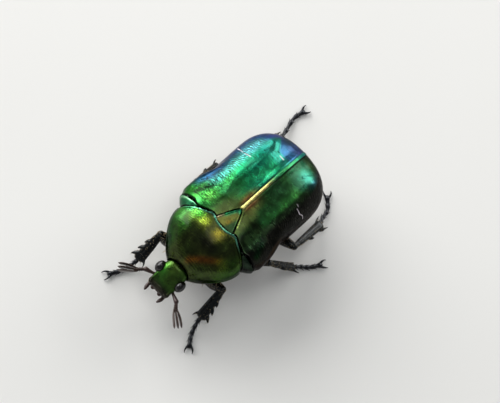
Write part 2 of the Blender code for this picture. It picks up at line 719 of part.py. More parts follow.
# Assembly
prothorax = make_prothorax()
wing_case_right = make_wing_case("elytron_right", -1.0)
wing_case_left = make_wing_case("elytron_left", 1.0)
scutellum = make_scutellum()
thorax = make_thorax()
abdomen = make_abdomen()
carve(thorax, [prothorax, wing_case_right, wing_case_left])
carve(abdomen, [thorax])
carve(scutellum, [thorax, wing_case_right, wing_case_left, prothorax])
make_pygidium([wing_case_right, wing_case_left, abdomen])
make_shoulder_plate("mesepimeron_right", -1.0, [prothorax, wing_case_right, thorax])
make_shoulder_plate("mesepimeron_left", 1.0, [prothorax, wing_case_left, thorax])
head = carve(make_head(), [prothorax])
mouth = make_mouth(head)
eyes = []
for side_name, side in (("right", -1.0), ("left", 1.0)):
    eye = ball("eye_" + side_name, mirrored(EYE_CENTRE, side), EYE_RADII, EYE_BROWN, segments=16)
    eyes.append(eye)
carve(head, eyes)
for eye in eyes:
    carve(eye, [prothorax])
make_antenna("antenna_right", -1.0, 0.1, [head, mouth, eyes[0]])
make_antenna("antenna_left", 1.0, 0.0, [head, mouth, eyes[1]])
for leg_name, leg_spec in LEGS.items():
    make_leg(leg_name, leg_spec, [prothorax, thorax, abdomen])

for part in chafer.objects:
    part.data.transform(Matrix.Translation(Vector((BEETLE_SHIFT_X, BEETLE_SHIFT_Y, 0.0)) * MM))
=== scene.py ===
"""Looks of a rose chafer on a pale floor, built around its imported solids.

Shapes are worked out in millimetres in the beetle's own frame: y runs from head (-) to tail (+)
and is 0 at the tip of the scutellum, x is positive on the beetle's left, z is the height over the
floor. add_mesh() turns them into metres and sets the beetle's middle over the origin.
"""
import math

import bpy
import numpy as np
from mathutils import Matrix, Vector


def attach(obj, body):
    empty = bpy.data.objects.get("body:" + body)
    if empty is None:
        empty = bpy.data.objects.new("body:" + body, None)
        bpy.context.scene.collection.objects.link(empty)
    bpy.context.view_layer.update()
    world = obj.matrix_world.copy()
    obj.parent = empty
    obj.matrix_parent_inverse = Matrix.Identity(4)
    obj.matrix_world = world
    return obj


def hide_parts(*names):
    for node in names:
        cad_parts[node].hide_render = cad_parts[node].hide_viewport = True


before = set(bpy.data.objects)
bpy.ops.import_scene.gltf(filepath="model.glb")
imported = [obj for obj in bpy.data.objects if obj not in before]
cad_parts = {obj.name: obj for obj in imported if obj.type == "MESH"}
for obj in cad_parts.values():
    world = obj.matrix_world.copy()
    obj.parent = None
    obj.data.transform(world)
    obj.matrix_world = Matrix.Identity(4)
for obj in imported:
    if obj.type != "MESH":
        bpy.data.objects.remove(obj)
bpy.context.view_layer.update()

MM = 0.001
SHIFT = np.array((-1.94, -1.47, 0.0))
SEED = 7

# Outlines, as in the solids
SUTURE_REAR_Y = 9.15
CORNER_Y = 4.95
CASE_FRONT_Y = -2.05
HUMERUS_FRONT_Y = -2.25
CASE_HALF_WIDTH = 4.56
BACK_TOP_Z = 7.90
SUTURE_TIP_Z = 4.75
CASE_THICKNESS = 0.32
GROOVE_SPACING = 0.25
GROOVE_DEPTH = 0.03
SEAM = 0.012
SLIT = 0.15
SCUTELLUM_HALF_WIDTH = 1.02
SCUTELLUM_BASE_Y = -2.15
SHIELD_FRONT_Y = -6.95
SHIELD_BASE_Y = -2.47
SHIELD_CORNER_Y = -2.9
SHIELD_HALF_WIDTH = 3.98
SHIELD_FRONT_HALF_WIDTH = 1.38
SHIELD_BASE_Z = 7.78
SHIELD_FRONT_Z = 5.35
HEAD_REAR_Y = -7.15
CLYPEUS_FRONT_Y = -9.35
TRUNK_INSET = 0.95


def smooth(low, high, value):
    t = np.clip((value - low) / (high - low), 0.0, 1.0)
    return t * t * (3.0 - 2.0 * t)


def fade(low, high, value):
    return 1.0 - smooth(low, high, value)


def hump(value, centre, spread):
    return np.exp(-((value - centre) / spread) ** 2)


def spot(x, centre_x, spread_x, y, centre_y, spread_y):
    return hump(x, centre_x, spread_x) * hump(y, centre_y, spread_y)


def mix(a, b, t):
    return a + (b - a) * t


def shares(count):
    """Even steps from 0 to 1."""
    return np.linspace(0.0, 1.0, count)


def signed_power(value, power):
    return np.sign(value) * np.abs(value) ** power


def ring_shape(count, power):
    """Sideways and upward shares of a rounded section's half sizes, around it."""
    angle = (2.0 * math.pi * np.arange(count) / count)[None, :]
    return signed_power(np.sin(angle), 2.0 / power), signed_power(np.cos(angle), 2.0 / power)


def section_z(h, top, waist, bottom):
    return waist + h * np.where(h > 0.0, top - waist, waist - bottom)


def linear(colour):
    """A tuple, a display colour of 0 to 255 a channel, as linear light; an array stays."""
    if not isinstance(colour, tuple):
        return colour
    share = np.array(colour) / 255.0
    return np.where(share <= 0.04045, share / 12.92, ((share + 0.055) / 1.055) ** 2.4)


def paint(hue, like, *layers):
    """A colour for each value of like, with other colours laid over it by their masks."""
    hue = np.broadcast_to(linear(hue), (*like.shape, 3))
    for colour, mask in layers:
        hue = hue + (linear(colour) - hue) * mask[..., None]
    return hue


def unit(v):
    return v / np.linalg.norm(v, axis=-1, keepdims=True)


def vec(*values):
    return np.array(values, float)


# Meshes


def place_object(name, data):
    obj = bpy.data.objects.new(name, data)
    bpy.context.scene.collection.objects.link(obj)
    return obj


def add_mesh(name, points, faces, material, slot, nodes=(), **layers):
    """A smooth mesh from points in millimetres, riding on the body, with its layers of values."""
    mesh = bpy.data.meshes.new(name)
    mesh.from_pydata(((points + SHIFT) * MM).tolist(), [], faces)
    mesh.validate()
    mesh.update()
    mesh.shade_smooth()
    for key, values in layers.items():
        if values.ndim == 2:
            layer = mesh.attributes.new(key, "FLOAT_COLOR", "POINT")
            rgba = np.concatenate([values, np.ones((len(values), 1))], axis=1)
            layer.data.foreach_set("color", rgba.astype(np.float32).ravel())
        else:
            layer = mesh.attributes.new(key, "FLOAT", "POINT")
            layer.data.foreach_set("value", values.astype(np.float32))
    mesh.materials.append(material)
    obj = place_object(name, mesh)
    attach(obj, "root")
    if nodes:
        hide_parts(*nodes)
    return obj


class Parts:
    """Collects the points and faces of the surfaces that make up one piece."""

    def __init__(self):
        self.points = np.empty((0, 3))
        self.faces = []

    def add(self, points, faces):
        first = len(self.points)
        self.faces += [tuple(i + first for i in face) for face in faces]
        self.points = np.concatenate([self.points, points])
        return self

    def build(self, name, material, slot, nodes=()):
        return add_mesh(name, self.points, self.faces, material, slot, nodes)


def grid_faces(rows, columns, wrap=False, offset=0, flip=False):
    faces = []
    for i in range(rows - 1):
        start = offset + i * columns
        for j in range(columns if wrap else columns - 1):
            k = (j + 1) % columns
            face = (start + j, start + k, start + columns + k, start + columns + j)
            faces.append(face[::-1] if flip else face)
    return faces


def loft(rings, flip=False):
    """Closed body through rings (an array of stations x points x 3), with fan caps."""
    stations, count = rings.shape[:2]
    points = np.concatenate([rings.reshape(-1, 3), [rings[0].mean(0)], [rings[-1].mean(0)]])
    faces = grid_faces(stations, count, True, flip=flip)
    first, last = stations * count, stations * count + 1
    tail = (stations - 1) * count
    for j in range(count):
        k = (j + 1) % count
        for face in ((first, k, j), (last, tail + j, tail + k)):
            faces.append(face[::-1] if flip else face)
    return points, faces


def hermite(t, stops, values):
    """Smooth curve through the values at the stops."""
    stops, values = np.asarray(stops, float), np.asarray(values, float)
    slopes = np.gradient(values, stops, axis=0)
    t = np.clip(t, stops[0], stops[-1])
    i = np.clip(np.searchsorted(stops, t, side="right") - 1, 0, len(stops) - 2)
    width = stops[i + 1] - stops[i]
    s = (t - stops[i]) / width
    if values.ndim > 1:
        s, width = s[:, None], width[:, None]
    return ((2 * s ** 3 - 3 * s ** 2 + 1) * values[i]
            + (s ** 3 - 2 * s ** 2 + s) * width * slopes[i]
            + (3 * s ** 2 - 2 * s ** 3) * values[i + 1]
            + (s ** 3 - s ** 2) * width * slopes[i + 1])


def tube(path, widths, depths, count, power=2.0, rounded=4, side=(0, 0, 1)):
    """A limb: rounded sections along a path, with domed ends."""
    along = unit(np.gradient(path, axis=0))
    side = np.broadcast_to(np.asarray(side, float), path.shape)
    across = unit(side - along * (side * along).sum(1, keepdims=True))
    up = np.cross(along, across)
    angles = np.linspace(0.5 * math.pi / rounded, math.pi / 2 * 0.98, rounded)
    rise, shrink = np.sin(angles)[:, None], np.cos(angles)
    head = path[0] - along[0] * 0.5 * min(widths[0], depths[0]) * rise[::-1]
    tail = path[-1] + along[-1] * 0.5 * min(widths[-1], depths[-1]) * rise
    path = np.concatenate([head, path, tail])
    widths, depths = (
        np.concatenate([sizes[0] * shrink[::-1], sizes, sizes[-1] * shrink])[:, None, None]
        for sizes in (widths, depths))
    pad = ((rounded, rounded), (0, 0))
    across = np.pad(across, pad, mode="edge")[:, None, :]
    up = np.pad(up, pad, mode="edge")[:, None, :]
    c, h = (share[..., None] for share in ring_shape(count, power))
    return loft(path[:, None, :] + across * c * widths / 2.0 + up * h * depths / 2.0)


def ellipsoid(centre, radii, tilt=0.0, rows=40, columns=64):
    theta = np.linspace(0.02, math.pi - 0.02, rows)[:, None]
    phi = (2.0 * math.pi * np.arange(columns) / columns)[None, :]
    ring = np.stack([np.sin(theta) * np.cos(phi), np.sin(theta) * np.sin(phi),
                     np.cos(theta) * np.ones_like(phi)], axis=2) * radii
    return loft(ring @ np.array(Matrix.Rotation(tilt, 3, "X")).T + centre, flip=True)


def cone(base, tip, radius, tip_radius=0.02, bend=0.0, count=10, steps=9):
    """A tooth, spur or claw that curves towards bend."""
    t = shares(steps)[:, None]
    path = mix(base, tip, t) + bend * (4.0 * t * (1.0 - t))
    sizes = mix(radius, tip_radius, t[:, 0] ** 1.3) * 2.0
    side = (0, 0, 1) if abs(unit(tip - base)[2]) < 0.9 else (1, 0, 0)
    return tube(path, sizes, sizes, count, 2.0, 2, side)


# Materials


class Graph:
    """A new material, with short calls for the nodes that the skins are made of."""

    def __init__(self, name):
        self.material = bpy.data.materials.new(name)
        self.material.use_nodes = True
        self.place = self.add("TexCoord").outputs["Object"]

    def feed(self, node, inputs):
        for key, value in inputs.items():
            if isinstance(value, (int, float, tuple)):
                node.inputs[key].default_value = value
            else:
                self.material.node_tree.links.new(value, node.inputs[key])

    def add(self, kind, inputs=None, **settings):
        node = self.material.node_tree.nodes.new("ShaderNode" + kind)
        for key, value in settings.items():
            setattr(node, key, value)
        self.feed(node, inputs or {})
        return node

    def attribute(self, name, output="Fac"):
        return self.add("Attribute", attribute_name=name).outputs[output]

    def noise(self, scale, detail=3.0, stretch=None):
        place = self.place
        if stretch:
            place = self.add("Mapping", {"Vector": place, "Scale": stretch}).outputs["Vector"]
        inputs = {"Vector": place, "Scale": scale, "Detail": detail}
        return self.add("TexNoise", inputs).outputs["Fac"]

    def math(self, operation, *values):
        return self.add("Math", dict(enumerate(values)), operation=operation).outputs[0]

    def range(self, *values):
        keys = ("Value", "From Min", "From Max", "To Min", "To Max")
        return self.add("MapRange", dict(zip(keys, values))).outputs["Result"]

    def mix(self, kind, factor, a, b):
        return self.add("Mix", {"Factor": factor, "A": a, "B": b}, data_type="RGBA",
                        blend_type=kind).outputs["Result"]

    def finish(self, **inputs):
        shader = self.material.node_tree.nodes["Principled BSDF"]
        self.feed(shader, {key.replace("_", " "): value for key, value in inputs.items()})
        return self.material


BUMP_HEIGHT = 0.00003


def cuticle(name, colour=None, metallic=1.0, roughness=0.25, pit_scale=5200.0, pit_depth=0.25,
            strigae=0.0, mottling=0.35, coat=0.2, chalk=False, combed=False, pit_shade=0.22):
    """Metallic beetle skin: pits, fine scratches, patchy hue and, where wanted, chalky marks.

    The hue comes from the layer "hue" that the mesh carries, or from one colour."""
    g = Graph(name)
    base = g.attribute("hue", "Color") if colour is None else (*linear(colour), 1.0)
    patches = g.noise(1700.0, 4.0)
    shade = g.range(patches, 0.3, 0.7, 1.0 - mottling, 1.0 + mottling)
    turn = g.range(g.noise(420.0, 2.0), 0.3, 0.7, 0.478, 0.522)
    tint = g.add("HueSaturation", {"Color": base, "Value": shade, "Hue": turn})
    # Painted shade: the skin's colour is darkened in small spots at the pits, down to pit_shade.
    pits = g.add("TexVoronoi", {"Vector": g.place, "Scale": pit_scale}).outputs["Distance"]
    rim = g.range(pits, 0.06, 0.32, pit_shade, 1.05)
    painted_pit_shade = g.add("CombineColor", {"Red": rim, "Green": rim, "Blue": rim})
    skin = g.mix("MULTIPLY", 1.0, tint.outputs["Color"], painted_pit_shade.outputs["Color"])
    height = g.range(pits, 0.05, 0.42, 0.0, 1.0)
    if strigae:
        ripples = g.noise(1.0, 2.0, (1500.0, 5200.0, 1500.0))
        height = g.math("MULTIPLY_ADD", ripples, strigae, height)
    if combed:
        comb = g.attribute("comb")
        wave = {"Vector": g.place, "Scale": 1850.0, "Distortion": 3.5, "Detail": 2.0,
                "Detail Scale": 1.2}
        teeth = g.add("TexWave", wave, bands_direction="Y").outputs["Fac"]
        folds = g.noise(1.0, 2.0, (1900.0, 6000.0, 1900.0))
        cut = g.math("MULTIPLY", g.math("MULTIPLY_ADD", folds, 2.5, teeth), comb)
        height = g.math("MULTIPLY", height, g.math("MULTIPLY_ADD", comb, 0.7, 0.3))
        height = g.math("MULTIPLY_ADD", cut, 3.0, height)
    height = g.math("MULTIPLY_ADD", g.noise(16000.0, 2.0), 0.35, height)
    bump = g.add("Bump", {"Strength": pit_depth, "Distance": BUMP_HEIGHT, "Height": height})
    rough = g.range(patches, 0.25, 0.75, roughness * 0.75, roughness * 1.3)
    shine = {"Specular_Tint": (0.4, 0.4, 0.4, 1.0)} if metallic > 0.5 else {}
    if chalk:
        crumbs = g.math("MULTIPLY_ADD", g.noise(7000.0, 3.0), 1.5, -0.8)
        cover = g.range(g.math("ADD", g.attribute("chalk"), crumbs), 0.42, 0.6, 0.0, 1.0)
        skin = g.mix("MIX", cover, skin, (0.62, 0.56, 0.60, 1.0))
        metallic = g.math("MULTIPLY_ADD", cover, -metallic, metallic)
        rough = g.math("MULTIPLY_ADD", cover, 0.5, rough)
    return g.finish(Base_Color=skin, Metallic=metallic, Roughness=rough, Coat_Weight=coat,
                    Coat_Roughness=0.12, Normal=bump.outputs["Normal"], **shine)


WING = cuticle("wing_case_metal", roughness=0.25, pit_scale=4300.0, pit_depth=0.5, strigae=0.3,
               coat=0.12, chalk=True, combed=True, pit_shade=0.75)
SHIELD = cuticle("shield_metal", roughness=0.24, pit_scale=4800.0, pit_depth=0.6, strigae=0.3,
                 mottling=0.45, combed=True)
HEAD = cuticle("head_metal", roughness=0.3, pit_scale=7500.0, pit_depth=0.6)
BELLY = cuticle("belly_bronze", (92, 60, 58), 0.95, 0.26, 4200.0, 0.5, 0.6, 0.4, 0.2)
PLATE = cuticle("hind_plate", None, 0.9, 0.35, 5200.0, 0.6, 0.9, 0.3, 0.1, True)
LEG = cuticle("leg_cuticle", (24, 27, 27), 0.75, 0.24, 5200.0, 0.45, 0.3, 0.5, 0.3)
FOOT = cuticle("foot_cuticle", (20, 22, 27), 0.6, 0.22, 9000.0, 0.3, 0.0, 0.4, 0.35)
FEELER = cuticle("feeler_cuticle", (58, 40, 34), 0.2, 0.34, 9500.0, 0.4, 0.0, 0.3, 0.2)
EYE = cuticle("eye_facets", (10, 7, 7), 0.0, 0.12, 15000.0, 0.3, 0.0, 0.2, 0.0)


def make_hair_material():
    g = Graph("pale_hair")
    colour = g.mix("MIX", g.noise(2500.0, 2.0), (*linear((196, 178, 138)), 1.0),
                   (*linear((120, 98, 66)), 1.0))
    return g.finish(Base_Color=colour, Roughness=0.5)


HAIR = make_hair_material()


# Outlines that the pieces share


def segment_distance(x, y, start, end):
    """Distance in plan from points to a short line."""
    (sx, sy), (ex, ey) = start, end
    length = (ex - sx) ** 2 + (ey - sy) ** 2
    t = np.clip(((x - sx) * (ex - sx) + (y - sy) * (ey - sy)) / length, 0.0, 1.0)
    return np.hypot(x - sx - t * (ex - sx), y - sy - t * (ey - sy))


def scutellum_half_width(y):
    return SCUTELLUM_HALF_WIDTH * np.clip(y / SCUTELLUM_BASE_Y, 0.0, 1.1) ** 0.85


def shield_base_y(x):
    ax = np.abs(x)
    return SHIELD_BASE_Y + 0.36 * hump(ax, 1.4, 0.6) - 0.55 * smooth(2.2, 4.0, ax)


def case_front_y(x):
    return mix(shield_base_y(x) + SLIT, HUMERUS_FRONT_Y, smooth(2.7, 3.6, np.abs(x)))


def case_half_width(y):
    shoulder = 0.36 * smooth(0.5, -0.9, y) - 0.25 * smooth(-1.5, -2.3, y)
    return CASE_HALF_WIDTH + shoulder - 0.13 * hump(y, 1.3, 1.0)


def margin_z(y):
    return mix(4.95, 4.1, smooth(0.6, 3.4, y)) - 0.1 * smooth(3.4, CORNER_Y, y)


def suture_z(y):
    run = np.clip((y - 1.0) / (SUTURE_REAR_Y - 1.0), 0.0, 1.0)
    fall = (1.0 - run ** 2.6) ** 0.625
    return mix(SUTURE_TIP_Z, BACK_TOP_Z, fall) - 0.015 * np.minimum(y - 1.0, 0.0) ** 2


def local_share(x, y):
    """Share of a wing case's own width at its y: 0 at the suture, 1 at the outline."""
    tail = np.maximum(y - CORNER_Y, 0.0) / (SUTURE_REAR_Y + 0.2 - CORNER_Y)
    half = case_half_width(np.minimum(y, CORNER_Y)) * np.sqrt(np.maximum(1.0 - tail ** 2.4, 0.02))
    return np.clip(x / half, 0.0, 1.0)


def furrow_mask(x, y, spread):
    """Dent behind the shoulder."""
    return hump(segment_distance(x, y, (3.95, -1.7), (3.3, -0.4)), 0.0, spread)


def comb_mask(x, y):
    """Band along the flank where fine grooves run across."""
    share = local_share(x, y)
    inner = mix(0.32, 0.54, smooth(-1.6, 2.4, y))
    band = smooth(0.0, 0.20, share - inner) * fade(0.88, 0.97, share)
    return band * smooth(-2.1, -1.5, y) * fade(6.2, 7.4, y)


def comb_wave(x, y):
    """Height of the fine grooves across the flank, from -1 to 1."""
    wave = y + 0.10 * np.sin(3.1 * x + 0.7 * y) + 0.05 * np.sin(7.3 * x - 2.9 * y)
    wave = wave + 0.04 * np.sin(11.0 * x + 1.3) * np.sin(2.3 * y)
    patchy = 0.65 + 0.35 * np.sin(5.0 * x + 3.7 * np.sin(2.1 * y))
    outer = smooth(0.50, 0.66, local_share(x, y))
    return np.sin(2.0 * math.pi * wave / GROOVE_SPACING) * patchy * outer * comb_mask(x, y)


def case_relief(x, y):
    """Sutural ridge with a long dent beside it, shoulder and rear knobs, low ribs and pits."""
    rear = smooth(1.5, 4.5, y) * fade(7.6, 8.9, y)
    behind = smooth(-0.3, 0.6, y)
    form = 0.10 * hump(x, 0.0, 0.42) - 0.15 * hump(x, 1.05, 0.55) * rear
    form += 0.16 * hump(x, 3.75, 0.6) * hump(y, -0.9, 0.8)
    form += 0.26 * hump(x, 2.75, 0.75) * hump(y, 7.25, 0.75)
    form += 0.04 * hump(segment_distance(x, y, (1.56, 6.67), (2.5, 8.3)), 0.0, 0.11)
    bead = 0.06 * fade(0.10, 0.17, x) * behind
    groove = -0.06 * hump(x, 0.22, 0.05) * behind
    ribs = 0.02 * (hump(x, 1.95, 0.22) + 0.8 * hump(x, 3.0, 0.25)) * smooth(1.0, 4.0, y)
    ribs *= fade(6.2, 7.4, y)
    pits = 0.0
    for row, (place, spacing) in enumerate(((0.66, 0.24), (1.25, 0.31), (1.62, 0.27), (2.3, 0.34))):
        line = place + 0.05 * np.sin(1.7 * y + row)
        along = ((y / spacing + 0.3 * row) % 1.0 - 0.5) * spacing
        pits = pits - 0.014 * np.exp(-((x - line) ** 2 + along ** 2) / 0.055 ** 2)
    pits = pits * smooth(0.2, 1.0, y) * fade(5.5, 6.5, y)
    furrow = -0.05 * furrow_mask(x, y, 0.34)
    return form + bead + groove + ribs + pits + furrow + GROOVE_DEPTH * comb_wave(x, y)


def case_plan(u, v):
    suture_y = mix(CASE_FRONT_Y, SUTURE_REAR_Y, 1.0 - (1.0 - u) ** 1.6)
    outer_y = mix(HUMERUS_FRONT_Y, CORNER_Y, u)
    inner_x = SEAM + scutellum_half_width(suture_y) + (SLIT - SEAM) * smooth(0.12, -0.3, suture_y)
    across = np.sin(v * math.pi / 2.0) ** 0.8
    height = np.where(v < 1.0, np.cos(np.minimum(v, 0.99999) * math.pi / 2.0) ** 0.8, 0.0)
    x = mix(inner_x, case_half_width(outer_y), across)
    z = mix(margin_z(outer_y), suture_z(suture_y), height)
    return x, mix(outer_y, suture_y, height), z


def case_points(u, v):
    x, y, z = case_plan(u, v)
    base_x, base_y, _ = case_plan(np.zeros_like(u), v)
    y = y + (case_front_y(base_x) - base_y) * (1.0 - u) ** 6
    return np.stack([x, y, z + case_relief(x, y)], axis=-1)


# Colours of the back


OLIVE = (72, 88, 44)
SAND = (124, 122, 62)
COPPER = (122, 70, 48)
MOSS = (36, 74, 36)
FERN_HIGHLIGHT = (60, 130, 60)
GRASS = (42, 116, 52)
EMERALD = (18, 110, 78)
BOTTLE = (16, 92, 66)
MINT_HIGHLIGHT = (52, 196, 124)
LIME_HIGHLIGHT = (84, 170, 72)
TEAL = (40, 124, 112)
LAGOON = (62, 136, 128)
CYAN_HIGHLIGHT = (108, 192, 200)
STEEL = (50, 100, 136)
BLUE = (48, 78, 136)
VIOLET = (66, 76, 122)
SLATE = (60, 84, 86)
SHADE = (38, 56, 34)
NIGHT = (25, 26, 20)
UMBER = (52, 38, 24)
STRAW_HIGHLIGHT = (206, 190, 118)
JADE_HIGHLIGHT = (58, 150, 96)


def right_case_colours(x, y, share):
    """Olive and grass green in front, emerald behind, blue along the flank and over the rear, with
    painted highlights on the disc and flank and painted shade on the outer flank and the rear
    slope.
    """
    fold = x - 1.56 - 0.6 * (y - 6.67)
    slope = smooth(6.5, 6.9, y) * fade(-0.15, 0.15, fold)
    hue = paint(
        EMERALD, x,
        (GRASS, fade(0.6, 3.0, y)),
        (OLIVE, fade(0.22, 0.52, share) * fade(-0.3, 1.5, y)),
        (SAND, fade(0.08, 0.22, share) * hump(y, 1.3, 0.9)),
        # Painted highlight: a bright mint patch on the disc.
        (MINT_HIGHLIGHT, spot(share, 0.24, 0.12, y, 3.7, 1.5) * 0.8),
        (BOTTLE, spot(share, 0.55, 0.12, y, 3.9, 1.6) * 0.8),
        # Painted highlight: a lime patch on the flank behind the shoulder.
        (LIME_HIGHLIGHT, spot(share, 0.58, 0.08, y, -1.1, 0.7) * 0.8),
        (LAGOON, smooth(0.62, 0.80, share) * smooth(-1.0, 0.6, y)),
        (STEEL, smooth(0.80, 0.90, share) * smooth(-1.6, -0.2, y)),
        # Painted highlight: a pale cyan patch on the rear of the flank.
        (CYAN_HIGHLIGHT, spot(share, 0.80, 0.09, y, 5.2, 1.5) * 0.6),
        (BLUE, smooth(0.88, 0.96, share) * smooth(-0.5, 1.5, y)),
        (TEAL, smooth(5.2, 6.4, y) * fade(0.6, 0.75, share) * 0.8),
        (STEEL, slope),
        (VIOLET, slope * smooth(7.2, 8.4, y) * 0.8),
        (BLUE, smooth(0.66, 0.8, share) * smooth(6.2, 7.4, y)),
        (SLATE, spot(x, 1.9, 0.6, y, 8.5, 0.5) * 0.8))
    # Painted shade darkens the outer flank and the rear slope; a painted highlight lightens a band
    # at two thirds of the width in the front half.
    edge = smooth(0.73, 0.88, share) * hump(y, 1.0, 2.2) + 0.4 * slope
    bright = 1.0 + 0.7 * hump(share, 0.67, 0.10) * fade(2.5, 5.0, y)
    return hue * (bright * (1.0 - 0.6 * np.clip(edge, 0.0, 1.0)))[..., None]


def left_case_colours(x, y, share):
    """Olive beside the scutellum and dark moss behind, with painted shade darkening the front disc
    and the flank to almost black, and painted highlights in a stripe and on the rear knob.
    """
    return paint(
        MOSS, x,
        (OLIVE, fade(0.26, 0.42, share) * fade(0.3, 1.2, y)),
        (SAND, fade(0.1, 0.3, share) * hump(y, 0.9, 1.0) * 0.6),
        # Painted shade on the front of the disc.
        ((24, 38, 18), smooth(0.22, 0.4, share) * fade(-0.2, 1.2, y)),
        # Painted highlight: a green stripe along the middle of the case.
        (FERN_HIGHLIGHT, hump(share, 0.50, 0.09) * smooth(0.2, 1.0, y) * fade(4.5, 6.0, y)),
        (SHADE, smooth(0.54, 0.62, share)),
        ((30, 74, 48), smooth(5.0, 6.0, y) * fade(0.5, 0.62, share)),
        # Painted highlights: teal and blue spots on the rear knob.
        ((48, 128, 112), spot(x, 1.95, 0.75, y, 7.1, 0.65)),
        ((50, 96, 112), spot(x, 2.65, 0.35, y, 7.4, 0.6) * 0.8),
        (SHADE, smooth(7.7, 8.3, y)),
        (SLATE, spot(x, 2.4, 0.4, y, 8.2, 0.4)),
        # Painted shade: the flank almost black.
        (NIGHT, smooth(0.62, 0.74, share)),
        (UMBER, smooth(0.92, 0.99, share) * 0.6))


def case_colours(x, y, right):
    """A wing case's zones, with painted shade in the furrow and in the grooves' troughs, painted
    highlights on the groove crests and along the bead by the seam, and the seam groove's black line
    painted as shade.
    """
    hue = (right_case_colours if right else left_case_colours)(x, y, local_share(x, y))
    # Painted shade in the dent behind the shoulder.
    hue = paint(hue, x, ((10, 36, 14), furrow_mask(x, y, 0.30) * 0.9))
    # Painted highlight and shade: the fine grooves' crests lighter, their troughs darker.
    hue = hue * (1.0 + 0.65 * comb_wave(x, y))[..., None]
    if not right:
        # On the left case, a painted highlight runs along the edge beside the scutellum, with a row
        # of dark dots beside it.
        strip = segment_distance(x, y, (0.24, -0.05), (0.97, -1.5))
        dots = hump(strip, 0.16, 0.05) * smooth(-0.1, 0.6, np.sin(2.0 * math.pi * y / 0.17))
        hue = paint(hue, x, ((168, 196, 104), hump(strip, 0.0, 0.07)),
                    (NIGHT, dots * (y < 0.0) * (y > -1.45)))
    behind = smooth(-0.2, 0.3, y)
    # Painted highlight along the bead by the seam, straw in front, jade and teal behind.
    bead_highlight_hue = paint(STRAW_HIGHLIGHT, y, (JADE_HIGHLIGHT, smooth(2.8, 4.6, y)), (TEAL, smooth(6.5, 8.5, y)))
    # Painted shade: a near-black line over the groove beside the bead.
    line = fade(4.0, 5.6, y) if right else 0.15 + 0.85 * smooth(3.0, 4.6, y)
    return paint(hue, x,
                 (COPPER, spot(x, 0.36, 0.16, y, 0.9, 0.9) * behind * 0.9),
                 (bead_highlight_hue, fade(0.13, 0.18, x) * behind),
                 ((5, 8, 6), hump(x, 0.23, 0.06 if right else 0.075) * behind * line))


def chalk_mask(x, y, strokes):
    mask = np.zeros_like(x)
    for line, width in strokes:
        for start, end in zip(line, line[1:]):
            near = segment_distance(x, y, start, end)
            mask = np.maximum(mask, fade(width * 0.35, width, near))
    return mask


MARKS_RIGHT = (
    (((-4.38, 4.62), (-4.2, 4.49), (-4.08, 4.43)), 0.06),
    (((-4.08, 4.43), (-3.75, 4.3)), 0.045),
    (((-3.55, 4.23), (-2.95, 4.27)), 0.06),
    (((-1.24, 6.44), (-0.78, 6.4)), 0.075),
)
MARKS_LEFT = (
    (((2.96, 4.4), (3.22, 4.4)), 0.06),
    (((3.27, 4.16), (3.76, 4.16), (3.99, 4.43), (4.2, 4.41)), 0.055),
)


def make_wing_case(name, side, marks):
    """A wing case: domed skin with rounded rims, closed by its inner face."""
    rows, rim_steps = 300, 7
    near = 2.0 / math.pi * np.arcsin(np.linspace(0.0, 0.16, 26) ** 1.25)
    v_line = np.concatenate([near[:-1], np.linspace(near[-1], 1.0, 118)])
    u, v = np.meshgrid(shares(rows), v_line, indexing="ij")
    outer = case_points(u, v)
    x, y = outer[..., 0], outer[..., 1]
    count, total = len(v_line), u.size
    along, across = np.gradient(outer, axis=0), np.gradient(outer, axis=1)
    inner = outer + unit(np.cross(along, across) + 1e-12) * CASE_THICKNESS
    inner[..., 0] = np.maximum(inner[..., 0], x.min(axis=1, keepdims=True))

    # The border, once around: along the seam, the rear, the flank and the front
    i = np.concatenate([np.arange(rows), np.full(count - 1, rows - 1),
                        np.arange(rows - 2, -1, -1), np.zeros(count - 2, int)])
    j = np.concatenate([np.zeros(rows, int), np.arange(1, count),
                        np.full(rows - 1, count - 1), np.arange(count - 2, 0, -1)])
    front, flank_side, seam = i == 0, j == count - 1, j == 0
    push = np.tile((0.0, 0.06, -0.02), (len(i), 1))
    push[front] = -unit(along[0])[j[front]] * 0.07
    push[flank_side] = unit(across[:, -1])[i[flank_side]] * 0.12
    push[seam] = 0.0
    push[seam, 0] = np.where(y[i[seam], 0] > 0.0, -0.004, -0.05)
    angle = (math.pi * np.arange(1, rim_steps) / rim_steps)[:, None, None]
    above, below = outer[i, j], inner[i, j]
    rim = (above + below) / 2.0 + (above - below) / 2.0 * np.cos(angle) + push * np.sin(angle)
    loop = i * count + j
    loops = np.concatenate([[loop], 2 * total + np.arange(rim[..., 0].size).reshape(-1, len(i)),
                            [total + loop]])
    upper, lower = loops[:-1], loops[1:]
    faces = grid_faces(rows, count) + grid_faces(rows, count, offset=total, flip=True)
    faces += np.stack([upper, lower, np.roll(lower, -1, 1), np.roll(upper, -1, 1)],
                      axis=-1).reshape(-1, 4).tolist()
    if side > 0:
        faces = [face[::-1] for face in faces]

    hue = case_colours(x, y, side < 0)
    # Painted shade: the front rim, tucked behind the pronotum, is nearly black, and so is the inner
    # face; the other rims are a fifth darker than the skin beside them.
    rim_shade_hue = hue[i, j] * np.where(front, 0.15, 0.8)[:, None]
    hue = np.concatenate([hue.reshape(-1, 3), np.broadcast_to(linear((11, 10, 9)), (total, 3)),
                          np.tile(rim_shade_hue, (rim_steps - 1, 1))])
    points = np.concatenate([part.reshape(-1, 3) for part in (outer, inner, rim)])
    points[:, 0] *= side
    comb = np.maximum(comb_mask(x, y), 0.08)
    comb, chalk = (np.concatenate([layer.ravel(), np.zeros(len(points) - total)])
                   for layer in (comb, chalk_mask(x * side, y, marks)))
    add_mesh("wing_case_" + name, points, faces, WING, "wing_case", ("elytron_" + name,),
             hue=hue, chalk=chalk, comb=comb)


make_wing_case("right", -1.0, MARKS_RIGHT)
make_wing_case("left", 1.0, MARKS_LEFT)


